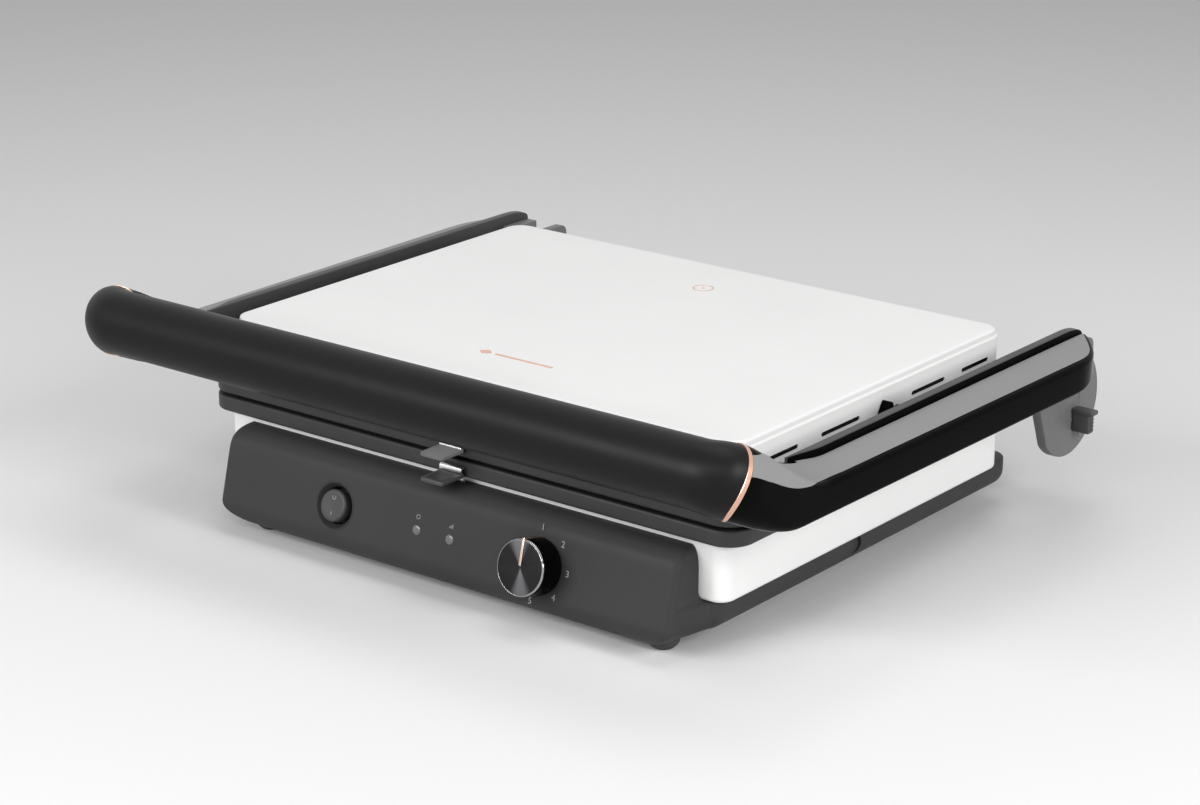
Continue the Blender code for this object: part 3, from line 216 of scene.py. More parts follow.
finishes = {
    "whitePaint": dict(greys(0.79, 0.765, -0.005), rough=(0.28, 0.36), gloss=0.35, bump=0.04,
                       pores=900, ripple=220, rippleShare=0.55),
    "panelSkin": dict(greys(0.037, 0.033, 0.001), rough=(0.5, 0.6), gloss=0.18, bump=0.22,
                      pores=2200, bumpDepth=0.0001),
    "gripSkin": dict(greys(0.0062, 0.0050, 0.0003), rough=(0.38, 0.44), gloss=0.14, bump=0.10,
                     pores=2600, bumpDepth=0.0001),
    "pianoBlack": dict(greys(0.0030, 0.0022, 0.0003), rough=(0.10, 0.16), gloss=0.015, bump=0.02,
                       ripple=60, rippleShare=0.8),
    "ridgeSkin": dict(greys(0.045, 0.037, 0.001), rough=(0.42, 0.5), gloss=0.3, bump=0.12,
                      pores=2400, bumpDepth=0.0001),
    "satinStrip": dict(greys(0.25, 0.239, 0.002), rough=(0.46, 0.52), gloss=0.12, bump=0.03,
                       pores=3000, bumpDepth=0.0001),
    "roseGold": dict(colour=(0.80, 0.50, 0.38), second=(0.74, 0.44, 0.33), rough=(0.2, 0.27),
                     metal=1, bump=0.03, stretch=(900, 900, 60)),
    # A pale, non-metal copy of the rose gold for the pointer's face on the cap: a painted
    # reflection of the light on the rose metal
    "paleRose": dict(colour=(0.92, 0.89, 0.87), second=(0.90, 0.86, 0.84), rough=(0.3, 0.38),
                     bump=0.03, stretch=(900, 900, 60)),
    "discSkin": dict(greys(0.135, 0.118, 0.002), rough=(0.4, 0.5), gloss=0.35, bump=0.14,
                     pores=2000, bumpDepth=0.0001),
    "castCoat": dict(greys(0.030, 0.024, 0.001), rough=(0.4, 0.52), gloss=0.4, bump=0.25,
                     pores=1400, ripple=300, rippleShare=0.4, toneScale=60, bumpDepth=0.00015),
    "matteBlack": dict(greys(0.02, 0.016, 0.001), rough=(0.5, 0.6), gloss=0.3, bump=0.15,
                       pores=2000, bumpDepth=0.0001),
    "tabBlack": dict(greys(0.050, 0.042, 0.001), rough=(0.4, 0.5), bump=0.12, pores=2400,
                     bumpDepth=0.0001),
    "tabGrey": dict(greys(0.15, 0.13, 0.002), rough=(0.4, 0.5), gloss=0.4, bump=0.12, pores=2400,
                    bumpDepth=0.0001),
    "sheetSteel": dict(colour=(0.62, 0.62, 0.61), second=(0.53, 0.53, 0.53), rough=(0.22, 0.33),
                       metal=1, bump=0.10, stretch=(30, 1200, 1200), toneScale=90),
    "drawnSteel": dict(greys(0.56, 0.47), rough=(0.25, 0.38), metal=1, bump=0.08,
                       stretch=(40, 800, 800), toneScale=50),
    "chromeEdge": dict(greys(0.42, 0.36, 0.01), rough=(0.08, 0.14), metal=1, bump=0.01),
    "heaterSkin": dict(colour=(0.11, 0.105, 0.10), second=(0.08, 0.075, 0.075), rough=(0.45, 0.6),
                       metal=0.8, bump=0.2, pores=1200),
    "footRubber": dict(greys(0.060, 0.048, 0.001), rough=(0.7, 0.85), gloss=0.3, bump=0.3,
                       pores=1600),
    "lampLens": dict(greys(0.13, 0.10), rough=(0.2, 0.3), bump=0.05, pores=3000, coat=0.3),
    "printGrey": dict(greys(0.34, 0.28, 0.005), rough=(0.5, 0.6), gloss=0.2, bump=0.08,
                      pores=3500, bumpDepth=0.00005),
    "rockerSkin": dict(greys(0.046, 0.040, 0.002), rough=(0.4, 0.5), gloss=0.35, bump=0.1,
                       pores=2600, bumpDepth=0.0001),
    # The dial's cap: dark metal whose colour is the painted glint wedges, light where the cap's
    # highlights fall
    "capWithPaintedGlints": dict(greys(0.1, 0.08), rough=(0.3, 0.36), metal=0.9, bump=0.05,
                      glints=((0.018, 0.018, 0.019), (0.13, 0.13, 0.135))),
}
made = {name: newFinish(name, look) for name, look in finishes.items()}
print("finishes made,", len(made))


# Shape helpers
def meshOf(bm, name):
    mesh = bpy.data.meshes.new(name)
    bm.to_mesh(mesh)
    bm.free()
    return mesh


def addObject(name, data):
    item = bpy.data.objects.new(name, data)
    bpy.context.scene.collection.objects.link(item)
    return item


def evaluated(item):
    # An object's finished mesh, as a new bmesh
    bpy.context.view_layer.update()
    ready = item.evaluated_get(bpy.context.evaluated_depsgraph_get())
    bm = bmesh.new()
    bm.from_mesh(ready.to_mesh())
    ready.to_mesh_clear()
    return bm


def newPiece(name, bm, finish, body, node=None, seat=None, sharp=30):
    # With a seat the mesh is in the seat's own space; without one it is moved to the lid's middle
    bmesh.ops.recalc_face_normals(bm, faces=bm.faces)
    if seat is None:
        bmesh.ops.translate(bm, verts=bm.verts, vec=(0, lidMiddle, 0))
    mesh = meshOf(bm, name)
    mesh.shade_smooth()
    mesh.set_sharp_from_angle(angle=math.radians(sharp))
    for one in finish.split():
        mesh.materials.append(made[one])
    piece = addObject(name, mesh)
    if seat is not None:
        piece.matrix_world = seat
    bpy.context.view_layer.update()
    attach(piece, body)
    if node:
        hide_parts(node)


def loft(rings, closed=False):
    # Joins rings of equally many points; an open loft gets a cap at each end
    bm = bmesh.new()
    rows = [[bm.verts.new(point) for point in ring] for ring in rings]
    pairs = list(zip(rows, rows[1:]))
    if closed:
        pairs.append((rows[-1], rows[0]))
    for low, high in pairs:
        for i in range(len(low)):
            j = (i + 1) % len(low)
            bm.faces.new((low[i], low[j], high[j], high[i]))
    if not closed:
        bm.faces.new(reversed(rows[0]))
        bm.faces.new(rows[-1])
    return bm


def joined(target, extra):
    mesh = meshOf(extra, "joined")
    target.from_mesh(mesh)
    bpy.data.meshes.remove(mesh)
    return target


def combined(bm, other, operation):
    # An exact union or difference of two closed shapes, as a new bmesh
    for shape in (bm, other):
        bmesh.ops.recalc_face_normals(shape, faces=shape.faces)
    items = [addObject("combined", meshOf(shape, "combined")) for shape in (bm, other)]
    step = items[0].modifiers.new("combined", "BOOLEAN")
    step.operation = operation
    step.object = items[1]
    step.solver = "EXACT"
    result = evaluated(items[0])
    for item in items:
        mesh = item.data
        bpy.data.objects.remove(item)
        bpy.data.meshes.remove(mesh)
    return result


def cutOut(bm, other):
    return combined(bm, other, "DIFFERENCE")


def soften(points, reach, steps=5, closed=False):
    # Rounds the corners of a line of points; reach is one distance or one for each point
    result = []
    count = len(points)
    for i, point in enumerate(points):
        here = Vector(point)
        size = reach if isinstance(reach, (int, float)) else reach[i]
        if size == 0 or (not closed and i in (0, count - 1)):
            result.append(tuple(here))
            continue
        before = Vector(points[i - 1]) - here
        after = Vector(points[(i + 1) % count]) - here
        cut = min(size, before.length * 0.49, after.length * 0.49)
        start = here + before.normalized() * cut
        end = here + after.normalized() * cut
        for step in range(steps + 1):
            t = step / steps
            result.append(tuple(start * (1 - t) ** 2 + here * 2 * t * (1 - t) + end * t * t))
    return result


def planRing(halfX, front, back, corner, z, steps=14):
    # A rounded rectangle seen from above, from y = -front to y = back
    points = []
    centres = ((halfX - corner, back - corner), (corner - halfX, back - corner),
               (corner - halfX, corner - front), (halfX - corner, corner - front))
    for quarter, (x, y) in enumerate(centres):
        for step in range(steps + 1):
            angle = (quarter + step / steps) * math.pi / 2
            points.append((x + corner * math.cos(angle), y + corner * math.sin(angle), z))
    return points


smallestCorner = 0.0008


def wrapProfile(outline, profile, closed=False):
    # A profile of (inset, level) carried round an outline of (half width, front, back, corner)
    halfX, front, back, corner = outline
    return loft([planRing(halfX - inset, front - inset, back - inset,
                          max(corner - inset, smallestCorner), z) for inset, z in profile], closed)


def shrunk(points, i, inset, middle):
    # A point of a closed outline moved towards the middle, across the outline
    here = Vector(points[i])
    along = (Vector(points[(i + 1) % len(points)]) - Vector(points[i - 1])).normalized()
    aside = Vector((along.y, -along.x))
    if aside.dot(middle - here) < 0:
        aside = -aside
    return tuple(here + aside * inset)


def sideLoft(points, xLow, xHigh, edge=0.0, steps=3):
    # A closed outline of (y, z) given thickness along X, its rims rounded by edge
    middle = Vector((sum(p[0] for p in points), sum(p[1] for p in points))) / len(points)
    way = 1 if xHigh > xLow else -1
    low, high = [(xLow, 0)], [(xHigh, 0)]
    if edge:
        turns = [step / steps * math.pi / 2 for step in range(steps + 1)]
        high = [(xLow + way * edge * (1 - math.sin(t)), edge * (1 - math.cos(t))) for t in turns]
        low = high[::-1]
        high = [(xHigh + xLow - x, inset) for x, inset in high]
    return loft([[(x, *shrunk(points, i, inset, middle)) for i in range(len(points))]
                 for x, inset in low + high])


def turned(profile, steps=64, closed=False):
    # A profile of (distance along -Y, radius) spun about Y
    turns = [2 * math.pi * i / steps for i in range(steps)]
    return loft([[(radius * math.sin(t), -reach, radius * math.cos(t)) for t in turns]
                 for reach, radius in profile], closed)


def arc(centre, radius, start, end, steps):
    turns = [math.radians(start + (end - start) * i / steps) for i in range(steps + 1)]
    return [(centre[0] + radius * math.cos(t), centre[1] + radius * math.sin(t)) for t in turns]


def circle(axis, centre, radius, steps):
    x, y, z = centre
    flat = arc((0, 0), radius, 0, 360 - 360 / steps, steps - 1)
    if axis == "X":
        return [(x, y + a, z + b) for a, b in flat]
    if axis == "Y":
        return [(x + a, y, z + b) for a, b in flat]
    return [(x + a, y + b, z) for a, b in flat]


def hoop(axis, near, far, outer, inner, steps):
    # A flat ring about an axis, between two centres
    return loft([circle(axis, centre, radius, steps) for centre, radius in
                 ((near, outer), (far, outer), (far, inner), (near, inner))], closed=True)


def upright(points, levels, x=0.0, y=0.0):
    # Plan points moved to (x, y) and carried from one level to another
    return loft([[(x + p[0], y + p[1], z) for p in points] for z in levels])


def stood(bm, place):
    # A shape made along Y turned upright and set at a place
    spin = Matrix.Rotation(math.pi / 2, 3, "X")
    bmesh.ops.rotate(bm, verts=bm.verts, cent=(0, 0, 0), matrix=spin)
    bmesh.ops.translate(bm, verts=bm.verts, vec=place)
    return bm


def roundedBlock(low, high, edge, steps=3):
    bm = bmesh.new()
    bmesh.ops.create_cube(bm, size=1)
    bmesh.ops.scale(bm, verts=bm.verts, vec=[b - a for a, b in zip(low, high)])
    bmesh.ops.translate(bm, verts=bm.verts, vec=[(a + b) / 2 for a, b in zip(low, high)])
    bmesh.ops.bevel(bm, geom=bm.edges, offset=edge, segments=steps, affect="EDGES", profile=0.5)
    return bm


def clamp(t, high=1):
    return min(max(t, 0), high)


def ease(t):
    t = clamp(t)
    return t * t * (3 - 2 * t)


def dip(t):
    # The height of a quarter circle, from a power of the distance along it
    return math.sqrt(max(1 - t, 0))


bothSides = ((-1, "left"), (1, "right"))

# Lid: a shallow white cover with a fine step round its top panel and slots in both sides
lidSizes = dict(
    halfX=0.176, reach=0.12905, bottom=0.0867, top=0.1151, corner=0.012, wall=0.002,
    panelInset=0.0013, panelStart=0.009, panelRound=0.0024, stepDrop=0.0036, stepRound=0.0008,
    slotLevel=0.1005, slotHeight=0.0026, fillGap=0.00005, fillDepth=0.0006,
    slots=((-0.1075, -0.0765), (-0.0553, -0.0190), (0.0317, 0.0655), (0.0830, 0.1113)),
)


def slotShapes(s, half, low, high):
    # The slots of both sides, from one distance off the middle to another
    shapes = bmesh.new()
    for side in (-1, 1):
        for front, back in s["slots"]:
            ends = arc((back - half, s["slotLevel"]), half, -90, 90, 8)
            ends += arc((front + half, s["slotLevel"]), half, 90, 270, 8)
            joined(shapes, sideLoft(ends, side * low, side * high))
    return shapes


def makeLidCover(s):
    top, bottom, wall = s["top"], s["bottom"], s["wall"]
    panel, start = s["panelInset"], s["panelStart"]
    step = top - s["stepDrop"]
    outer = soften([(start, top), (panel, top), (panel, step), (0, step - 0.0002), (0, bottom)],
                   [0, s["panelRound"], 0.0004, s["stepRound"], 0], 6)
    inner = soften([(0.0005, bottom), (wall, bottom), (wall, step - wall), (start, top - wall)],
                   [0, 0.0005, 0.002, 0])
    cover = wrapProfile((s["halfX"], s["reach"], s["reach"], s["corner"]),
                        outer[:-1] + [(0, bottom + 0.0004)] + inner)
    half = s["slotHeight"] / 2
    return cutOut(cover, slotShapes(s, half, s["halfX"] - wall * 2, s["halfX"] + wall))


def makeSlotFills(s):
    # Black inserts a hair behind the lid's sides, a painted shade standing in for the dark inside
    # the lid, so that the slots read dark
    return slotShapes(s, s["slotHeight"] / 2 - s["fillGap"], s["halfX"] - s["wall"] * 1.5,
                      s["halfX"] - s["fillDepth"])


newPiece("lidCover", makeLidCover(lidSizes), "whitePaint", "lid", "lid_cover")
newPiece("slotShadeFills", makeSlotFills(lidSizes), "pianoBlack", "lid")

# Two plain inlays in the lid's top: a bar with a lozenge in front, a ring with a dot at the back
inlaySizes = dict(
    barPlace=(0.006, -0.0895), barHalf=(0.020, 0.0011), lozengePlace=(-0.0205, -0.0895),
    lozengeHalf=(0.0045, 0.0036), lozengeRound=0.0006, ringPlace=(0.0, 0.0835), ringRadius=0.0062,
    ringWidth=0.0009, proud=0.00012, sunk=0.0004,
)


def makeInlays(s):
    low, high = levels = (lidSizes["top"] - s["sunk"], lidSizes["top"] + s["proud"])
    halfX, halfY = s["barHalf"]
    bar = upright(planRing(halfX, halfY, halfY, halfY * 0.98, 0, 8), levels, *s["barPlace"])
    halfX, halfY = s["lozengeHalf"]
    corners = [(halfX, 0), (0, halfY), (-halfX, 0), (0, -halfY)]
    joined(bar, upright(soften(corners, s["lozengeRound"], 4, True), levels, *s["lozengePlace"]))
    radius, width = s["ringRadius"], s["ringWidth"]
    x, y = s["ringPlace"]
    joined(bar, hoop("Z", (x, y, low), (x, y, high), radius, radius - width, 60))
    return joined(bar, upright(circle("Z", (x, y, 0), width, 16), levels))


newPiece("lidInlays", makeInlays(inlaySizes), "roseGold", "lid")
print("lid made")


# Lower shell: the white band between the lower plate and the black pan
shellSizes = dict(
    outline=(0.173, 0.135, 0.1355, 0.009), bottom=0.0297, top=0.0627, wall=0.0025, round=0.0047,
    lip=0.003,
)


def makeShell(s):
    bottom, top, wall = s["bottom"], s["top"], s["wall"]
    path = [(wall + s["lip"], bottom), (0, bottom), (0, top), (wall, top), (wall, bottom + 0.005),
            (wall + s["lip"], bottom + 0.002)]
    profile = soften(path, [0, s["round"], 0.0004, 0.0004, 0.001, 0], 7)
    return wrapProfile(s["outline"], profile, closed=True)


newPiece("whiteShell", makeShell(shellSizes), "whitePaint", "base", "shell_lower")

# Pan: a tucked-in skirt and the leaning control panel that flares into it
panSizes = dict(
    skirt=(0.167, 0.137, 0.1585, 0.012), bottom=0.005, skirtTop=0.0294, tuck=0.029, tuckShare=0.72,
    ledgeRound=0.0016, panelBottom=0.0058, panelTop=0.0591, panelHalf=0.1568, face=0.1571,
    faceLevel=0.0335, lean=math.radians(14), planCorner=0.0048, panelBack=0.118, rollStart=0.0440,
    rollDepth=0.0135, sideRoll=0.0048, flareLow=0.0285, flareHigh=0.0350, flareFrom=0.132,
    flareInset=0.0002, flareLimit=0.0265, sideTuck=0.0162, sideTuckTop=0.0183, frontTuck=0.011,
    frontTuckTop=0.0195, notch=(-0.0045, 0.0225), notchRadius=0.0052, notchReach=(0.1652, 0.172),
)
switchSizes = dict(x=-0.072, dish=0.0135, barrel=0.0104, dishDepth=0.0028, depth=0.012,
                   seat=(-0.014, 0.004))


def skirtInset(z, s):
    t = (z - s["bottom"]) / (s["skirtTop"] - s["bottom"])
    inset = s["tuck"] * max(1 - t / s["tuckShare"], 0) ** 2.8
    left = (s["skirtTop"] - z) / s["ledgeRound"]
    if left < 1:
        inset += s["ledgeRound"] * (1 - dip((1 - left) ** 2))
    return inset


def makeSkirt(s):
    low, high, edge = s["bottom"], s["skirtTop"], s["ledgeRound"]
    levels = [low + (high - edge - low) * i / 20 for i in range(21)]
    levels += [high - edge * math.cos(math.radians(15 * i)) for i in range(1, 7)]
    return wrapProfile(s["skirt"], [(skirtInset(z, s), z) for z in levels])


def panelRing(z, s):
    front = s["face"] - (z - s["faceLevel"]) * math.tan(s["lean"])
    rise = z - s["panelBottom"]
    under = max(1 - rise / (s["frontTuckTop"] - s["panelBottom"]), 0)
    front -= s["frontTuck"] * (under ** 2 + 0.12 * under ** 8)
    over = max((z - s["rollStart"]) / (s["panelTop"] - s["rollStart"]), 0)
    front -= s["rollDepth"] * (1 - dip(over ** 5))
    aside = max(1 - rise / (s["sideTuckTop"] - s["panelBottom"]), 0)
    half = s["panelHalf"] - s["sideTuck"] * aside ** 2.2
    half -= s["sideRoll"] * (1 - dip(over ** 2.6))
    # The flanks spread backwards until they run into the skirt's sides
    flare = 1 - dip(clamp((s["flareHigh"] - z) / (s["flareHigh"] - s["flareLow"])) ** 2)
    wide = s["skirt"][0] - s["flareInset"] - skirtInset(min(z, s["flareLimit"]), s)
    spread = (wide - half) * flare
    ring = planRing(half, front, -s["panelBack"], s["planCorner"], z)
    return [(x + (math.copysign(spread, x) if y > -s["flareFrom"] else 0), y, z)
            for x, y, z in ring]


def makePanelBlock(s):
    low, start, high = s["panelBottom"], s["rollStart"], s["panelTop"]
    levels = [low + (start - low) * (i / 26) for i in range(26)]
    levels += [start + (high - start) * math.sin(math.radians(90 * i / 18)) for i in range(19)]
    return loft([panelRing(z, s) for z in levels])


def panelSeat(x):
    # A place on the leaning face, its local -Y pointing out of the panel
    place = Matrix.Translation((x, lidMiddle - panSizes["face"], panSizes["faceLevel"]))
    return place @ Matrix.Rotation(-panSizes["lean"], 4, "X")


def makePan(s):
    # The skirt and the panel in one, with the switch's seat and a notch in the right side
    seat = turned([(reach, switchSizes["dish"]) for reach in switchSizes["seat"]])
    place = Matrix.Translation((0, -lidMiddle, 0)) @ panelSeat(switchSizes["x"])
    bmesh.ops.transform(seat, matrix=place, verts=seat.verts)
    pan = cutOut(combined(makeSkirt(s), makePanelBlock(s), "UNION"), seat)
    return cutOut(pan, sideLoft(arc(s["notch"], s["notchRadius"], 0, 350, 35), *s["notchReach"]))


newPiece("basePan", makePan(panSizes), "panelSkin", "base", "base_pan", sharp=34)


# Underside: a vented cover plate, its screws and four turned feet
bottomSizes = dict(
    outline=(0.1240, 0.1060, 0.1155, 0.012), low=0.0046, top=0.0072, ventHalf=(0.0012, 0.018),
    ventPitch=0.0085, ventCount=9, ventRows=(-0.055, 0.055),
)
screwSizes = dict(
    profile=((-0.0016, 0.6), (-0.0002, 1), (0.0006, 0.96), (0.0010, 0.7)), lift=0.0010,
    slotShare=0.62, slotHalf=0.0004, slotReach=(-0.0014, -0.0004),
)
feetSizes = dict(
    radius=0.0088, tip=0.0056, top=0.005, side=((-0.0015, 0.9), (0.0012, 1), (0.0030, 0.86)),
    end=((0.0047, 1), (0.005, 0.5)), rounds=(0, 0.0008, 0.0012, 0.0005, 0),
)


def makeBottomCover(s):
    low, top = s["low"], s["top"]
    profile = soften([(0.006, low), (0.0003, low), (0.0003, top), (0.006, top)], [0, 0.0006, 0, 0])
    halfX, halfY = s["ventHalf"]
    vent = planRing(halfX, halfY, halfY, halfX * 0.95, 0, 5)
    cuts = bmesh.new()
    for y in s["ventRows"]:
        for i in range(s["ventCount"]):
            x = (i - (s["ventCount"] - 1) / 2) * s["ventPitch"]
            joined(cuts, upright(vent, (low - 0.001, top + 0.001), x, y))
    return cutOut(wrapProfile(s["outline"], profile), cuts)


def makeScrew(node, s):
    low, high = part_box(node)
    radius = (high.x - low.x) / 2
    head = turned([(reach, radius * share) for reach, share in s["profile"]], 32)
    far, near = s["slotReach"]
    long, half = radius * s["slotShare"], s["slotHalf"]
    for wide, tall in ((long, half), (half, long)):
        head = cutOut(head, roundedBlock((-wide, far, -tall), (wide, near, tall), 0.0001, 1))
    middle = (low.x + high.x) / 2, (low.y + high.y) / 2 - lidMiddle
    return stood(head, (*middle, low.z + s["lift"]))


def makeFoot(node, s):
    low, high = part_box(node)
    path = [(reach, s["radius"] * share) for reach, share in s["side"]]
    path += [(reach, s["tip"] * share) for reach, share in s["end"]]
    middle = (low + high) / 2
    return stood(turned(soften(path, s["rounds"], 5), 48),
                 (middle.x, middle.y - lidMiddle, s["top"]))


cornerWords = ("front_left", "front_right", "back_left", "back_right")
newPiece("bottomCover", makeBottomCover(bottomSizes), "matteBlack", "base",
         "bottom_cover")
for word in cornerWords:
    node = "cover_screw_" + word
    newPiece("screw_" + word, makeScrew(node, screwSizes), "drawnSteel", "base", node)
for word in cornerWords:
    node = "foot_" + word
    newPiece("foot." + word, makeFoot(node, feetSizes), "footRubber", "base", node)
print("base made")


# Plates: cast and coated, with a flat rim, a grease channel and tapered ribs
plateSizes = dict(
    outline=(0.1831, 0.1405, 0.1365, 0.015), lower=(0.0630, 0.0721), upper=(0.0864, 0.0738),
    rimRound=0.0016, land=0.009, floor=0.0035, channel=0.009, ribCount=21, ribClearance=0.0011,
    ribFoot=0.52, ribTop=0.34, ribRound=0.0012, ribSunk=0.0006,
    ribEnds=((0, 0), (0.0012, 0.7), (0.003, 1)),
)


def makePlate(back, face, shift, s):
    # From its back level to its face level; shift moves the ribs so that both plates' interleave
    way = 1 if face > back else -1
    floor = back + way * s["floor"]
    land, edge = s["land"], s["rimRound"]
    path = [(land * 2, back), (0, back), (0, face), (land, face), (land + edge, floor),
            (land * 2.5, floor)]
    plate = wrapProfile(s["outline"], soften(path, [0, edge, edge, edge * 0.6, edge, 0], 5))
    halfX, front, backY, corner = s["outline"]
    inset = land + s["channel"]
    reach = halfX - inset
    pitch = 2 * reach / s["ribCount"]
    foot, tip = pitch * s["ribFoot"] / 2, pitch * s["ribTop"] / 2
    top = face - way * s["ribClearance"]
    sunk = floor - way * s["ribSunk"]
    stops = [(inset - front + along, rise) for along, rise in s["ribEnds"]]
    stops += [(backY - inset - along, rise) for along, rise in reversed(s["ribEnds"])]
    for i in range(s["ribCount"]):
        x = -reach + (i + 0.5) * pitch + shift * pitch / 4
        rings = []
        for y, rise in stops:
            crown = floor + (top - floor) * rise
            side = soften([(x - foot, sunk), (x - tip, crown), (x + tip, crown), (x + foot, sunk)],
                          [0, s["ribRound"], s["ribRound"], 0], 4)
            rings.append([(px, y, pz) for px, pz in side])
        joined(plate, loft(rings))
    return plate


for word, body, shift in (("lower", "base", 1), ("upper", "lid", -1)):
    newPiece(word + "Plate", makePlate(*plateSizes[word], shift, plateSizes), "castCoat", body,
             word + "_plate")
print("plates made")


# Handle: two arms that swell into a thick round bar across the front. Its path runs along an
# arm, round the bend and along the bar; s is how far along it a section stands, from the lid's
# middle forward. A section is a list of (reach, level) pairs, reach running outwards.
h = dict(
    bendX=0.196, bendStart=0.17065, bendRadius=0.0194, bendCentre=0.0024, barDepth=0.0336,
    armBack=0.1665, armEnd=0.0445, armEndTip=0.04, armEndLift=0.012, outerFront=0.2252,
    outerBack=0.228, swing=math.radians(62), low=0.0872, lowRise=(0.0163, 0.1475, 0.1999),
    high=0.1064, highRise=(0.0330, 0.1181, 0.1966), rounding=(0.1416, 0.1864), crown=0.0021,
    bendCrown=(0.0022, 0.100, 0.130), fall=0.0021, edge=0.0024, lean=0.2807,
    leanFade=(0.2011, 0.2211), ridge=0.0055, ridgeTip=0.0016, ridgeTop=0.1122, ridgeFront=0.122,
    ridgeTaper=0.026, ridgeEnd=(0.018, 0.0045), ridgeEdge=0.0008, straightEnd=0.095,
    bendPitch=0.0022, ring=0.1840, ringHalf=0.00085,
    ringShape=((-1, 0), (-0.8, 0.00035), (0.8, 0.00035), (1, 0)), splitTilt=math.radians(24.0),
    splitSwing=math.radians(7), trimHalf=0.0003, gripHalf=0.018, gap=0.0003,
)
bendEnd = h["bendStart"] + h["bendRadius"] * math.pi / 2


def between(s, start, end):
    return ease((s - start) / (end - start))


def curveAt(knots, s):
    # A smooth value through (place, value) pairs, level beyond both ends
    if s <= knots[0][0]:
        return knots[0][1]
    if s >= knots[-1][0]:
        return knots[-1][1]
    i = max(k for k in range(len(knots) - 1) if knots[k][0] <= s)
    rates = [0]
    for (x0, y0), (x1, y1) in zip(knots, knots[2:]):
        rates.append((y1 - y0) / (x1 - x0))
    rates.append(0)
    (x0, start), (x1, end) = knots[i], knots[i + 1]
    wide = x1 - x0
    t = (s - x0) / wide
    bend = (2 * t ** 3 - 3 * t ** 2 + 1) * start + (3 * t ** 2 - 2 * t ** 3) * end
    return bend + wide * ((t ** 3 - 2 * t ** 2 + t) * rates[i] + (t ** 3 - t ** 2) * rates[i + 1])


def turnAt(s):
    return clamp((s - h["bendStart"]) / h["bendRadius"], math.pi / 2)


def endShare(s, back):
    # The rounding of an arm's rear end in plan: 0 at its tip, 1 where the side runs straight
    t = clamp((back + s) / h["armEnd"])
    return 1 - (1 - min(math.sqrt(t * (t + h["armEndTip"])), 1)) ** 2


def ridgeWidth(s):
    t = between(s, h["ridgeFront"] - h["ridgeTaper"], h["ridgeFront"])
    return h["ridge"] + (h["ridgeTip"] - h["ridge"]) * t


def outerReach(s):
    # How far out the handle's side lies, from the arm's rear end to the bar's front
    back = h["armBack"] - h["armEnd"]
    share = clamp((h["bendStart"] - s) / (h["bendStart"] + back))
    side = h["outerFront"] + (h["outerBack"] - h["outerFront"]) * share - h["bendX"]
    front = h["barDepth"] + h["bendCentre"]
    return side + (front - side) * ease(turnAt(s) / h["swing"])


def limits(s):
    # (lowest reach, highest reach, lowest level, highest level) of the handle's skin
    share = endShare(s, h["armBack"])
    inner = h["bendCentre"] + (ridgeWidth(s) + h["gap"]) * (
        1 - between(s, h["ridgeFront"], h["ridgeFront"] + h["ridgeTaper"]))
    spare = h["edge"] * 2
    outer = inner + spare + (outerReach(s) - inner - spare) * share
    low = h["low"] + h["lowRise"][0] * between(s, *h["lowRise"][1:])
    high = h["high"] + h["highRise"][0] * between(s, *h["highRise"][1:])
    return inner, outer, low + h["armEndLift"] * (1 - share) ** 1.3, high


def boxSection(lowR, highR, lowW, highW, edge, crown=0.0, fall=0.0, blend=0.0, steps=9):
    # A rounded box that falls outwards on top, and becomes an ellipse as blend goes to 1
    midR, midW = (lowR + highR) / 2, (lowW + highW) / 2
    halfR, halfW = (highR - lowR) / 2, (highW - lowW) / 2
    points = []
    for i in range(4 * steps):
        quarter = i // steps
        turn = math.radians(-90 + 90 * (quarter + (i % steps) / (steps - 1)))
        even = math.radians(-90 + 360 * (i + 0.5) / (4 * steps))
        signR = 1 if quarter in (0, 1) else -1
        signW = 1 if quarter in (1, 2) else -1
        boxR = midR + signR * (halfR - edge) + edge * math.cos(turn)
        boxW = midW + signW * (halfW - edge) + edge * math.sin(turn)
        if signW > 0:
            boxW += crown - (crown + fall) * (boxR - lowR) / (highR - lowR)
        roundR = midR + halfR * math.cos(even)
        roundW = midW + halfW * math.sin(even)
        points.append((boxR + (roundR - boxR) * blend, boxW + (roundW - boxW) * blend))
    return points


def coverSection(s):
    crown = h["crown"] + h["bendCrown"][0] * between(s, *h["bendCrown"][1:])
    return boxSection(*limits(s), h["edge"], crown, h["fall"], between(s, *h["rounding"]))


def offset(points, distance):
    moved = []
    for i, (reach, level) in enumerate(points):
        before, after = points[i - 1], points[(i + 1) % len(points)]
        along = Vector((after[0] - before[0], after[1] - before[1])).normalized()
        moved.append((reach + along.y * distance, level - along.x * distance))
    return moved


def standUp(points, side, s):
    # Places a section on the right (1) or left (-1) half of the path, leaning back in the bend
    lean = h["lean"] * between(s, *h["rounding"]) * (1 - between(s, *h["leanFade"]))
    inner, outer, low, high = limits(s)
    placed = []
    for reach, level in points:
        here = s - (level - (low + high) / 2) * lean
        turn = turnAt(here)
        x = h["bendX"] + reach * math.cos(turn) - max(here - bendEnd, 0)
        y = -min(here, h["bendStart"]) - reach * math.sin(turn)
        placed.append((side * x, y, level))
    return placed


def armStops(back, last):
    # Places from an arm's rear end forward, close together at the tip and in the bend
    stops = [h["armEnd"] * (i / 14) ** 2 - back for i in range(14)]
    start = h["armEnd"] - back
    straight = min(last, h["straightEnd"])
    stops += [start + (straight - start) * i / 12 for i in range(13)]
    steps = round((last - straight) / h["bendPitch"])
    return stops + [straight + (last - straight) * i / steps for i in range(1, steps + 1)]


def middleOf(points):
    reaches, levels = zip(*points)
    return (min(reaches) + max(reaches)) / 2, (min(levels) + max(levels)) / 2


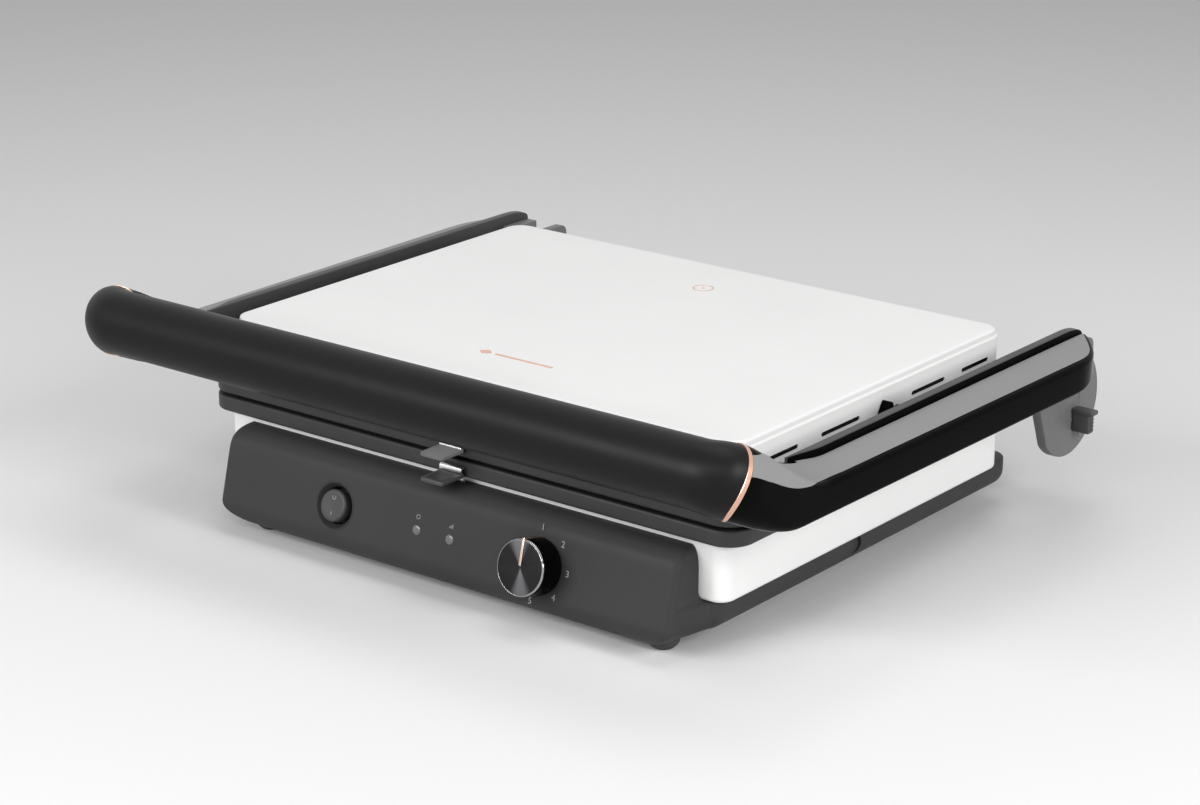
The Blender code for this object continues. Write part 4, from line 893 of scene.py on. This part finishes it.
def outlineAt(points, angle):
    # Where a ray at an angle from the section's middle leaves the section
    best = middle = Vector(middleOf(points))
    way = Vector((math.cos(angle), math.sin(angle)))
    for i in range(len(points)):
        a = Vector(points[i - 1]) - middle
        side = Vector(points[i]) - middle - a
        bottom = way.x * side.y - way.y * side.x
        if abs(bottom) < 1e-12:
            continue
        reach = (a.x * side.y - a.y * side.x) / bottom
        along = (a.x * way.y - a.y * way.x) / bottom
        if reach > 0 and -1e-9 <= along <= 1 + 1e-9:
            best = middle + way * reach
    return tuple(best)


def angleOnTop(points, reach):
    # The angle, from the section's middle, of the place on its top at a reach
    midReach, midLevel = middleOf(points)
    level = midLevel
    for i in range(len(points)):
        a, b = points[i - 1], points[i]
        if a[0] != b[0] and min(a[0], b[0]) <= reach <= max(a[0], b[0]):
            level = max(level, a[1] + (b[1] - a[1]) * (reach - a[0]) / (b[0] - a[0]))
    return math.atan2(level - midLevel, reach - midReach)


# The satin strip on an arm: set in from its edges on the straight, and wound from the top to the
# outer side in the bend, where its edges are angles round the section
stripSizes = dict(
    inset=0.0039, endInset=0.0012, inner=0.0004, start=0.086, windUp=0.044, innerEnd=0.118,
    steps=20, proud=0.00030, sunk=-0.0004,
    lowTurns=((0.099, 46), (0.129, 34), (0.139, 25), (0.151, 21), (0.172, 21), (0.183, 28)),
    highTurns=((0.118, 129), (0.142, 117), (0.160, 89), (0.172, 73), (0.183, 63)),
)


def stripBand(s):
    strip = stripSizes
    points = coverSection(s)
    back = h["armBack"] - strip["endInset"]
    inner = limits(s)[0] + strip["inner"]
    tip = max(1 - (back + s) / h["armEnd"], 0)
    inset = strip["inset"] + (strip["endInset"] - strip["inset"]) * ease(tip * 1.6)
    reach = inner + (outerReach(s) - inset - inner) * endShare(s, back)
    low = angleOnTop(points, max(reach, inner + 0.0002))
    wound = math.radians(curveAt(strip["lowTurns"], s))
    low += (wound - low) * between(s, strip["start"], strip["start"] + strip["windUp"])
    if s < strip["innerEnd"]:
        high = angleOnTop(points, inner)
    else:
        high = math.radians(curveAt(strip["highTurns"], s))
    proud, sunk = offset(points, strip["proud"]), offset(points, strip["sunk"])
    angles = [low + (high - low) * i / strip["steps"] for i in range(strip["steps"] + 1)]
    band = [outlineAt(proud, angle) for angle in angles]
    return band + [outlineAt(sunk, angle) for angle in reversed(angles)]


def makeArmSkin(side, section, back):
    stops = armStops(back, h["ring"] - h["ringHalf"])
    return loft([standUp(section(s), side, s) for s in stops])


def makeArmRidge(side):
    # The raised inner edge of an arm, matte on top and glossy on its outward riser
    rings = []
    long, drop = h["ridgeEnd"]
    for s in armStops(h["armBack"], h["ridgeFront"]):
        width = ridgeWidth(s)
        t = clamp((h["armBack"] + s) / long)
        high = h["ridgeTop"] - drop * (1 - dip((1 - t) ** 2))
        points = boxSection(h["bendCentre"], h["bendCentre"] + width, limits(s)[2], high,
                            min(h["ridgeEdge"], width / 3))
        rings.append(standUp(points, side, s))
    ridge = loft(rings)
    bmesh.ops.recalc_face_normals(ridge, faces=ridge.faces)
    for face in ridge.faces:
        if face.normal.x * side > 0.8:
            face.material_index = 1
    return ridge


def makeTrimRing(side):
    rings = []
    for share, lift in h["ringShape"]:
        s = h["ring"] + h["ringHalf"] * share
        rings.append(standUp(offset(coverSection(s), lift), side, s))
    return loft(rings)


for side, word in bothSides:
    for name, shape, finish, slot, node in (
            ("armCover.", makeArmSkin(side, coverSection, h["armBack"]), "pianoBlack",
             "gloss_black", "arm_cover_"),
            ("armStrip.", makeArmSkin(side, stripBand, h["armBack"] - stripSizes["endInset"]),
             "satinStrip", "satin_grey", "arm_strip_"),
            ("armRidge.", makeArmRidge(side), "ridgeSkin pianoBlack", "matte_black", "arm_frame_"),
            ("trimRing.", makeTrimRing(side), "roseGold", "rose_gold", "trim_ring_")):
        newPiece(name + word, shape, finish, "handle", node + word)


def barSlice(s, start, end, steps):
    # The part of the bar's oval between two directions
    inner, outer, low, high = limits(s)
    points = []
    for i in range(steps + 1):
        angle = start + (end - start) * i / steps
        points.append(((inner + outer) / 2 + (outer - inner) / 2 * math.cos(angle),
                       (low + high) / 2 + (high - low) / 2 * math.sin(angle)))
    return points


def makeBarPiece(slices):
    # One or two slices of (start, end, steps) carried along the bar from ring to ring
    first = h["ring"] + h["ringHalf"]
    places = [first + (h["leanFade"][1] - first) * i / 20 for i in range(21)]
    rings = []
    for side, s in [(1, s) for s in places] + [(-1, s) for s in reversed(places)]:
        rings.append(standUp([p for part in slices for p in barSlice(s, *part)], side, s))
    return loft(rings)


# The bar is split behind its top and just before its lowest line, a hairline along both edges
top = math.pi / 2 + h["splitTilt"]
low = top + math.pi - h["splitSwing"]
trim = h["trimHalf"] / h["gripHalf"]
for word, finish, slot, slices in (
        ("Front", "gripSkin", "grip_black", [(low - 2 * math.pi + trim, top - trim, 40)]),
        ("Back", "pianoBlack", "gloss_black", [(top + trim, low - trim, 40)]),
        ("Trim", "roseGold", "rose_gold",
         [(top - trim, top + trim, 2), (low - trim, low + trim, 2)])):
    newPiece("grip" + word, makeBarPiece(slices), finish, "handle", "grip_" + word.lower())
print("handle made")


# Rear hinge: housing, shaft, the two discs and the release slider
hingeSizes = dict(
    y=0.17165, z=0.0631, discRadius=0.032, discInner=0.190, discFace=0.196, discTop=0.034,
    discBack=0.0245, discFront=0.050, discPoint=(0.008, 0.010), discCorner=0.005, discEdge=0.0006,
    rootFront=0.031, rootBack=0.006, rootLow=0.027, rootHigh=0.043, rootGap=0.0003, armInner=0.1984,
    hub=((0, 0.0125), (0.0004, 0.0120), (0.0004, 0.0108), (0, 0.0103)), tickAngles=(-62, -50, -38),
    tickHalf=(0.0003, 0.0004, 0.0022), tickInset=0.0065, housingHalf=0.140, housingRadius=0.014,
    housingStart=0.1358, housingDepth=0.019, housingLow=0.0297, housingHeight=0.028,
    housingEdge=0.0012, grooves=(-0.092, -0.046, 0, 0.046, 0.092), grooveHalf=0.0006,
    grooveDepth=0.0008, grooveReach=0.002, coreHalf=0.0934, hubSunk=0.00002, shaftRadius=0.006,
    shaftTip=0.0045, shaftTaper=0.0012, shaftReach=0.0042,
)


def makeDisc(side, s):
    y, z = s["y"], s["z"]
    top, back, corner = z + s["discTop"], y + s["discBack"], s["discCorner"]
    points = arc((y, z), s["discRadius"], 220, 398, 48)
    points += arc((back - corner, top - corner), corner, 0, 90, 8)
    along, down = s["discPoint"]
    points += [(y - s["discFront"], top), (y - s["discFront"] + along, top - down)]
    disc = sideLoft(points, side * s["discInner"], side * s["discFace"], s["discEdge"])
    low, high = sorted(side * x for x in (s["discInner"] + s["rootGap"],
                                          s["armInner"] - s["rootGap"]))
    joined(disc, roundedBlock((low, y - s["rootFront"], z + s["rootLow"]),
                              (high, y - s["rootBack"], z + s["rootHigh"]), s["discEdge"]))
    # A pressed hub ring and three index ticks on the outer face
    joined(disc, loft([
        circle("X", (side * (s["discFace"] + reach - s["hubSunk"]), y, z), radius, 60)
        for reach, radius in s["hub"]], closed=True))
    for angle in s["tickAngles"]:
        turn = math.radians(angle)
        half = Vector(s["tickHalf"])
        mark = roundedBlock(-half, half, 0.0001, 1)
        spin = Matrix.Rotation(turn + math.pi / 2, 3, "X")
        bmesh.ops.rotate(mark, verts=mark.verts, cent=(0, 0, 0), matrix=spin)
        reach = s["discRadius"] - s["tickInset"]
        place = (side * s["discFace"], y + reach * math.cos(turn), z + reach * math.sin(turn))
        bmesh.ops.translate(mark, verts=mark.verts, vec=place)
        joined(disc, mark)
    return disc


def makeHousing(s):
    centre, radius, low = (s["y"], s["z"]), s["housingRadius"], s["housingLow"]
    path = [(s["housingStart"], low), (s["housingStart"] + s["housingDepth"], low)]
    path += arc(centre, radius, -65, 115, 28)
    path += [(s["housingStart"], low + s["housingHeight"])]
    housing = sideLoft(path, -s["housingHalf"], s["housingHalf"], s["housingEdge"])
    grooves = bmesh.new()
    for x in s["grooves"]:
        joined(grooves, sideLoft(arc(centre, radius + s["grooveReach"], 0, 351, 39),
                                 x - s["grooveHalf"], x + s["grooveHalf"]))
    core = sideLoft(arc(centre, radius - s["grooveDepth"], 0, 351, 39), -s["coreHalf"],
                    s["coreHalf"])
    return cutOut(housing, cutOut(grooves, core))


def makeShaft(s):
    reach = s["discInner"] + s["shaftReach"]
    inner = reach - s["shaftTaper"]
    return loft([circle("X", (x, s["y"], s["z"]), radius, 60) for x, radius in (
        (-reach, s["shaftTip"]), (-inner, s["shaftRadius"]), (inner, s["shaftRadius"]),
        (reach, s["shaftTip"]))])


for side, word in bothSides:
    newPiece("hingeDisc." + word, makeDisc(side, hingeSizes), "discSkin", "handle",
             "hinge_disc_" + word)
newPiece("hingeHousing", makeHousing(hingeSizes), "matteBlack", "base",
         "hinge_housing")
newPiece("hingeShaft", makeShaft(hingeSizes), "drawnSteel", "base", "hinge_shaft")

releaseSizes = dict(
    edge=0.0009, ledge=0.0028, sideInset=0.0008, faceInset=0.0022, overlap=0.001, ribs=4,
    ribStart=0.0022, ribPitch=0.0021, ribHalf=0.0004, ribInset=0.0018, ribDepths=(0.0030, 0.0016),
    ribEdge=0.0003,
)


def makeRelease(s):
    # A thumb block with a ledge along its top and fine ribs on its outer face
    low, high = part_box("release_lever")
    yLow, yHigh = low.y - lidMiddle, high.y - lidMiddle
    shelf = high.z - s["ledge"]
    inset, deep, shallow = s["sideInset"], *s["ribDepths"]
    block = roundedBlock((low.x, yLow + inset, low.z),
                         (high.x - s["faceInset"], yHigh - inset, shelf + s["overlap"]), s["edge"])
    joined(block, roundedBlock((low.x, yLow, shelf), (high.x, yHigh, high.z), s["edge"]))
    for i in range(s["ribs"]):
        z = low.z + s["ribStart"] + i * s["ribPitch"]
        joined(block, roundedBlock((high.x - deep, yLow + s["ribInset"], z - s["ribHalf"]),
                                   (high.x - shallow, yHigh - s["ribInset"], z + s["ribHalf"]),
                                   s["ribEdge"], 2))
    return block


newPiece("releaseSlider", makeRelease(releaseSizes), "tabBlack", "release",
         "release_lever")

pivotSizes = dict(
    y=0.00945, z=0.098, hub=0.0034, inner=0.1763, outer=0.1975, thickness=0.006, hubStart=0.004,
    flank=((-0.0150, -0.0075), (0.0120, -0.0075), (0.0100, -0.0026), (0.0040, 0.0012),
           (-0.0058, 0.0040), (-0.0070, 0.0070), (-0.0078, 0.0066), (-0.0112, 0.0016)),
    flankRounds=(0.001, 0.001, 0.002, 0.003, 0.001, 0.0004, 0.0004, 0.002),
)


def makePivot(side, s):
    # A low wedge on the lid's side with a stop at its front, and the hub that takes the pin
    corners = [(s["y"] + along, s["z"] + up) for along, up in s["flank"]]
    bracket = sideLoft(soften(corners, s["flankRounds"], 4, True), side * s["inner"],
                       side * (s["inner"] + s["thickness"]), 0.0004)
    return joined(bracket, sideLoft(arc((s["y"], s["z"]), s["hub"], 0, 351, 39),
                                    side * (s["inner"] + s["hubStart"]), side * s["outer"], 0.0006))


for side, word in bothSides:
    newPiece("lidPivot." + word, makePivot(side, pivotSizes), "pianoBlack", "lid",
             "lid_pivot_" + word)


glandSizes = dict(
    bore=0.0033, collar=0.0072, collarDepth=0.006, sleeve=0.0058, ribs=4, ribStart=0.0072,
    ribPitch=0.0022, ribFall=0.0004, tip=((0.0006, 0.0046), (0, 0.0042), (0, 0.0033)),
    rib=((0, 0), (0.0003, 0.0007), (0.0012, 0.0007), (0.0014, 0.0003)),
)


def makeGland(s):
    # The lead's grommet: a collar and a tapered ribbed sleeve with an open bore
    low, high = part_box("cord_gland")
    middle = (low + high) / 2
    length = high.y - low.y
    depth, collar = s["collarDepth"], s["collar"]
    path = [(0, s["bore"]), (0, collar), (depth, collar), (depth, s["sleeve"])]
    for i in range(s["ribs"]):
        start = s["ribStart"] + i * s["ribPitch"]
        outer = s["sleeve"] - i * s["ribFall"]
        path += [(start + along, outer - deep) for along, deep in s["rib"]]
    path += [(length - short, radius) for short, radius in s["tip"]]
    gland = turned([(-reach, radius) for reach, radius in path], 48, closed=True)
    bmesh.ops.translate(gland, verts=gland.verts, vec=(middle.x, low.y - lidMiddle, middle.z))
    return gland


newPiece("cordGland", makeGland(glandSizes), "matteBlack", "base", "cord_gland")
print("hinge made")


# Latches: bent sheet clips with curled ends, each with a thumb tab
latchSizes = dict(
    sheet=0.0011, clipHalf=0.0075, tabHalf=0.0079, tabReach=0.005, tabCorner=0.0014,
    dishInset=0.0028, curl=0.0014,
)


def sheetSection(path, thickness):
    # A line of (y, z) given the thickness of sheet metal
    left, right = [], []
    for i, point in enumerate(path):
        along = Vector(path[min(i + 1, len(path) - 1)]) - Vector(path[max(i - 1, 0)])
        along.normalize()
        aside = Vector((along.y, -along.x)) * thickness / 2
        left.append(tuple(Vector(point) + aside))
        right.append(tuple(Vector(point) - aside))
    return left + right[::-1]


def makeClip(word, s):
    low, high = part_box("latch_clip_" + word)
    y = (low.y + high.y) / 2 - lidMiddle
    lowZ, highZ = low.z + 0.0004, high.z - 0.0004
    front = y - 0.0026
    if word == "upper":
        path = [(y + 0.0004, highZ - 0.0004), (y - 0.0006, highZ), (y - 0.0008, highZ - 0.003),
                (front, lowZ + 0.003), (front + 0.0008, lowZ), (y + 0.0002, lowZ + 0.0012)]
    else:
        path = [(y + 0.0002, highZ - 0.0006), (front + 0.0008, highZ), (front, highZ - 0.0028),
                (y - 0.0008, lowZ + 0.0028), (y - 0.0006, lowZ), (y + 0.0006, lowZ + 0.0002)]
    return sideLoft(sheetSection(soften(path, s["curl"], 6), s["sheet"]), -s["clipHalf"],
                    s["clipHalf"])


def makeTab(word, s):
    low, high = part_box("latch_tab_" + word)
    yBack, yFront = high.y - lidMiddle + 0.0008, low.y - lidMiddle - s["tabReach"]
    outline = planRing(s["tabHalf"], -yFront, yBack, s["tabCorner"], 0, 5)
    rings = []
    for z, inset in ((low.z, 0.0009), (low.z + 0.0004, 0.0002), (low.z + 0.0009, 0),
                     (high.z - 0.0007, 0), (high.z - 0.0002, 0.0003), (high.z, 0.0008)):
        rings.append([(x - math.copysign(inset, x), y + (inset if y < yBack - 0.004 else 0), z)
                      for x, y, spare in outline])
    tab = loft(rings)
    if word == "lower":
        half = s["tabHalf"] - s["dishInset"]
        tab = cutOut(tab, roundedBlock((-half, yFront + 0.0026, high.z - 0.0007),
                                       (half, yBack - 0.0036, high.z + 0.002), 0.0005, 2))
    return tab


for word, tabFinish in (("upper", "tabGrey"), ("lower", "tabBlack")):
    body = word + "_latch"
    newPiece("latchClip." + word, makeClip(word, latchSizes), "sheetSteel", body,
             "latch_clip_" + word)
    newPiece("latchTab." + word, makeTab(word, latchSizes), tabFinish, body,
             "latch_tab_" + word)


# Dial: a glossy turned body, a chrome edge, a lathe-turned cap with painted glints in its colour
# and a rose pointer whose face on the cap is a painted reflection
dialSizes = dict(
    x=0.0706, radius=0.0155, length=0.0155, cap=0.0142, capLift=0.0006, pointerHalf=0.00065,
    pointerLow=0.0012, numberRadius=0.0198, numberSize=0.0050, numberShift=(-0.0008, 0.0006),
    numberTurns=(0, 46, 92, 138, 184), printProud=0.00006, printDepth=0.00004,
)


def makeDialBody(s):
    radius, length = s["radius"], s["length"]
    path = [(0.0006, radius - 0.0016), (0.0006, radius - 0.0002), (0.0030, radius),
            (0.0032, radius - 0.0004), (0.0038, radius - 0.0004), (0.0040, radius),
            (length - 0.0004, radius - 0.0002), (length - 0.0002, radius - 0.0012)]
    return turned(soften(path, [0, 0.0005, 0.0002, 0.0002, 0.0002, 0.0002, 0.0003, 0], 3), 96)


def makeDialEdge(s):
    low, radius = s["length"] - 0.0003, s["radius"]
    path = [(low, radius - 0.0013), (low, radius - 0.0003), (low + 0.0006, radius - 0.0005),
            (low + 0.0010, radius - 0.0010), (low + 0.0006, radius - 0.0013)]
    return turned(soften(path, [0, 0, 0.0003, 0.0002, 0], 4), 96, closed=True)


def makeDialCap(s):
    face, rim = s["length"] + s["capLift"], s["cap"]
    path = [(s["length"] - 0.0004, rim + 0.0001), (face, rim + 0.0001),
            (face + 0.0001, rim - 0.0006), (face - 0.0003, 0.004), (face - 0.0004, 0.0004)]
    return turned(path, 96)


def makePointer(s):
    # From the middle of the cap over its rim and back along the dial's side. The part on the cap
    # takes the pale first finish, a painted reflection of the light on the rose metal; the part
    # along the side takes the rose gold
    half, radius = s["pointerHalf"], s["radius"]
    face = s["length"] + s["capLift"]
    bar = roundedBlock((-half, -face - 0.0005, s["pointerLow"]),
                       (half, -face + 0.0006, radius - 0.0006), 0.0002, 2)
    onCap = len(bar.faces)
    joined(bar, roundedBlock((-half, -face - 0.0004, radius - 0.0012),
                             (half, -0.0014, radius + 0.00025), 0.0002, 2))
    bar.faces.ensure_lookup_table()
    for side in bar.faces[onCap:]:
        side.material_index = 1
    return bar


def makeDialNumbers(s):
    # Printed figures, standing on the panel round the dial
    marks = bmesh.new()
    for index, degrees in enumerate(s["numberTurns"]):
        curve = bpy.data.curves.new("figure", "FONT")
        curve.body = str(index + 1)
        curve.size = s["numberSize"]
        curve.align_x = "CENTER"
        curve.align_y = "CENTER"
        curve.extrude = s["printDepth"]
        item = addObject("figure", curve)
        figure = evaluated(item)
        bpy.data.objects.remove(item)
        bpy.data.curves.remove(curve)
        turn = math.radians(degrees)
        x = s["numberShift"][0] + s["numberRadius"] * math.sin(turn)
        z = s["numberShift"][1] + s["numberRadius"] * math.cos(turn)
        stand = Matrix.Translation((x, -s["printProud"], z)) @ Matrix.Rotation(math.pi / 2, 4, "X")
        bmesh.ops.transform(figure, matrix=stand, verts=figure.verts)
        joined(marks, figure)
    return marks


dialSeat = panelSeat(dialSizes["x"])
for name, shape, finish, body, slot, node in (
        ("dialBody", makeDialBody, "pianoBlack", "knob", "gloss_black", "knob_body"),
        ("dialEdge", makeDialEdge, "chromeEdge", "knob", "steel", None),
        ("dialCap", makeDialCap, "capWithPaintedGlints", "knob", "brushed_black", "knob_cap"),
        ("dialPointer", makePointer, "paleRose roseGold", "knob", "rose_gold", "knob_pointer"),
        ("dialNumbers", makeDialNumbers, "printGrey", "base", "panel_black", None)):
    newPiece(name, shape(dialSizes), finish, body, node, dialSeat)
print("dial made")


# Switch: a round rocker in a dished well, with a ring and a bar as its two marks
rockerSizes = dict(
    radius=0.0090, low=-0.0032, high=0.0030, tilt=math.radians(6), play=0.0011,
    ring=(0.00125, 0.00090), ringPlace=0.0045, barEnds=(-0.0058, -0.0034), barHalf=0.0002,
    ink=0.0001,
)


def makeWell(s):
    low, barrel, dish = -s["depth"], s["barrel"], s["dish"]
    path = [(low, 0.0002), (low, barrel + 0.001), (0.00005, dish + 0.0002),
            (0.00035, dish - 0.0001), (0.0001, dish - 0.0008), (-s["dishDepth"], barrel + 0.0004),
            (-s["dishDepth"] - 0.0006, barrel), (low + 0.0015, barrel), (low + 0.0015, 0.0002)]
    return turned(path, 72, closed=True)


def makeRocker(s):
    low, high, radius = s["low"], s["high"], s["radius"]
    path = [(low, radius - 0.0004), (low + 0.0005, radius), (high - 0.0010, radius),
            (high - 0.0001, radius - 0.0007), (high, radius - 0.0020), (high - 0.0004, 0.0003)]
    return turned(soften(path, [0, 0.0004, 0.0006, 0.0006, 0.0008, 0], 4), 72)


def makeRockerMarks(s):
    face, z = -s["high"] + 0.0002, s["ringPlace"]
    marks = hoop("Y", (0, face, z), (0, face - s["ink"], z), *s["ring"], 24)
    low, high = s["barEnds"]
    return joined(marks, roundedBlock((-s["barHalf"], face - s["ink"], low),
                                      (s["barHalf"], face + s["ink"], high), 0.00005, 1))


switchSeat = panelSeat(switchSizes["x"])
rockerSeat = switchSeat @ Matrix.Translation((0, rockerSizes["play"], 0))
rockerSeat = rockerSeat @ Matrix.Rotation(-rockerSizes["tilt"], 4, "X")
newPiece("switchWell", makeWell(switchSizes), "panelSkin", "base", "switch_body",
         switchSeat)
newPiece("rocker", makeRocker(rockerSizes), "rockerSkin", "rocker", "power_rocker",
         rockerSeat)
newPiece("rockerMarks", makeRockerMarks(rockerSizes), "printGrey", "rocker", None,
         rockerSeat)

# Lamps: two domed lenses with a small plain mark printed above each, a ring or three bars
lampSizes = dict(
    power=-0.013, ready=0.010, radius=0.0027, markZ=0.0072, ring=(0.0013, 0.00105), ink=0.00006,
    barHalf=0.0002, barLow=0.0012, bars=((-0.0010, 0.0007), (0, 0.0011), (0.0010, 0.0015)),
    barStretch=1.6,
)


def makeLamp(s):
    radius = s["radius"]
    return turned([(-0.004, radius), (0.0001, radius), (0.0003, radius * 0.93),
                   (0.0005, radius * 0.7), (0.0006, radius * 0.35), (0.00062, 0.0001)], 40)


def makeLampMark(kind, s):
    z, half = s["markZ"], s["barHalf"]
    if kind == "power":
        return hoop("Y", (0, 0, z), (0, -s["ink"], z), *s["ring"], 24)
    mark = bmesh.new()
    low = z - s["barLow"]
    for x, high in s["bars"]:
        joined(mark, roundedBlock((x - half, -s["ink"], low),
                                  (x + half, 0, low + high * s["barStretch"]), 0.00002, 1))
    return mark


for kind in ("power", "ready"):
    seat = panelSeat(lampSizes[kind])
    newPiece("lamp." + kind, makeLamp(lampSizes), "lampLens", "base",
             "lamp_" + kind, seat)
    newPiece("lampMark." + kind, makeLampMark(kind, lampSizes), "printGrey", "base",
             None, seat)
print("controls made")

# CAD nodes that stay as they are keep their meshes, and each gets a finish of its own
keptNodes = {"heaterSkin": ("lower_heater", "upper_heater"),
             "sheetSteel": ("lower_reflector", "upper_reflector", "thermostat"),
             "drawnSteel": ("pivot_pin_left", "pivot_pin_right"), "matteBlack": ("lid_frame",)}
for finish, nodes in keptNodes.items():
    for node in nodes:
        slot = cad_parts[node].material_slots[0]
        slot.link = "OBJECT"
        slot.material = made[finish]


# Floor, world, lights and camera
def makeFloor(half, grey):
    bm = bmesh.new()
    corners = [(-half, -half, 0), (half, -half, 0), (half, half, 0), (-half, half, 0)]
    bm.faces.new([bm.verts.new(corner) for corner in corners])
    mesh = meshOf(bm, "studioFloor")
    paper = bpy.data.materials.new("studioPaper")
    paper.use_nodes = True
    shader = paper.node_tree.nodes["Principled BSDF"]
    shader.inputs["Base Color"].default_value = (grey, grey, grey, 1)
    shader.inputs["Roughness"].default_value = 0.9
    shader.inputs["Specular IOR Level"].default_value = 0.1
    mesh.materials.append(paper)
    floor = addObject("studioFloor", mesh)


def makeWorld(strength, grey):
    # The light is even white; the camera and mirrors see a pale grey in its place
    world = bpy.data.worlds.new("studio")
    bpy.context.scene.world = world
    world.use_nodes = True
    tree = world.node_tree
    lit = tree.nodes["Background"]
    lit.inputs["Color"].default_value = (1, 1, 1, 1)
    lit.inputs["Strength"].default_value = strength
    fillTree(tree, {
        "shown": ("Background", {"Color": (grey, grey, grey, 1)}),
        "path": "LightPath",
        "either": "Math MAXIMUM",
        "anyOfThree": "Math MAXIMUM",
        "mix": "MixShader"},
        "path.Is Camera Ray > either.0, path.Is Glossy Ray > either.1, either.0 > anyOfThree.0, "
        "path.Is Transmission Ray > anyOfThree.1, anyOfThree.0 > mix.0, lit.0 > mix.1, "
        "shown.0 > mix.2, mix.0 > out.Surface", {"lit": lit, "out": tree.nodes["World Output"]})


def addSoftbox(name, place, target, size, power):
    light = bpy.data.lights.new(name, "AREA")
    light.shape = "RECTANGLE"
    light.size, light.size_y = size
    light.energy = power
    item = addObject(name, light)
    item.location = place
    way = Vector(target) - Vector(place)
    item.rotation_euler = way.to_track_quat("-Z", "Y").to_euler()


def makeCamera(place, azimuth, pitch, roll, lens):
    data = bpy.data.cameras.new("productCamera")
    data.lens = lens
    data.sensor_width = 36
    camera = addObject("productCamera", data)
    turn = Matrix.Rotation(azimuth, 4, "Z") @ Matrix.Rotation(math.pi / 2 - pitch, 4, "X")
    camera.matrix_world = Matrix.Translation(place) @ turn @ Matrix.Rotation(roll, 4, "Z")
    bpy.context.scene.camera = camera


makeFloor(4, 0.78)
makeWorld(0.28, 0.92)
addSoftbox("overhead", (0.1, 0.25, 1.9), (0, 0, 0.1), (1.5, 1.0), 8.5)
addSoftbox("frontLeft", (-0.5, -1.8, 0.85), (0, -0.1, 0.08), (1.3, 0.5), 20)
addSoftbox("right", (1.9, -0.2, 0.9), (0.1, 0, 0.08), (0.8, 0.8), 27)
addSoftbox("barHighlight", (0.3, -1.6, 1.25), (0, -0.17, 0.12), (2.6, 0.12), 12)
makeCamera((0.99939, -1.31056, 0.62136), 0.6561213, 0.3243693, 0.0065415, 92.186)
bpy.context.scene.view_settings.view_transform = "Standard"
print("studio set")

bpy.context.view_layer.update()
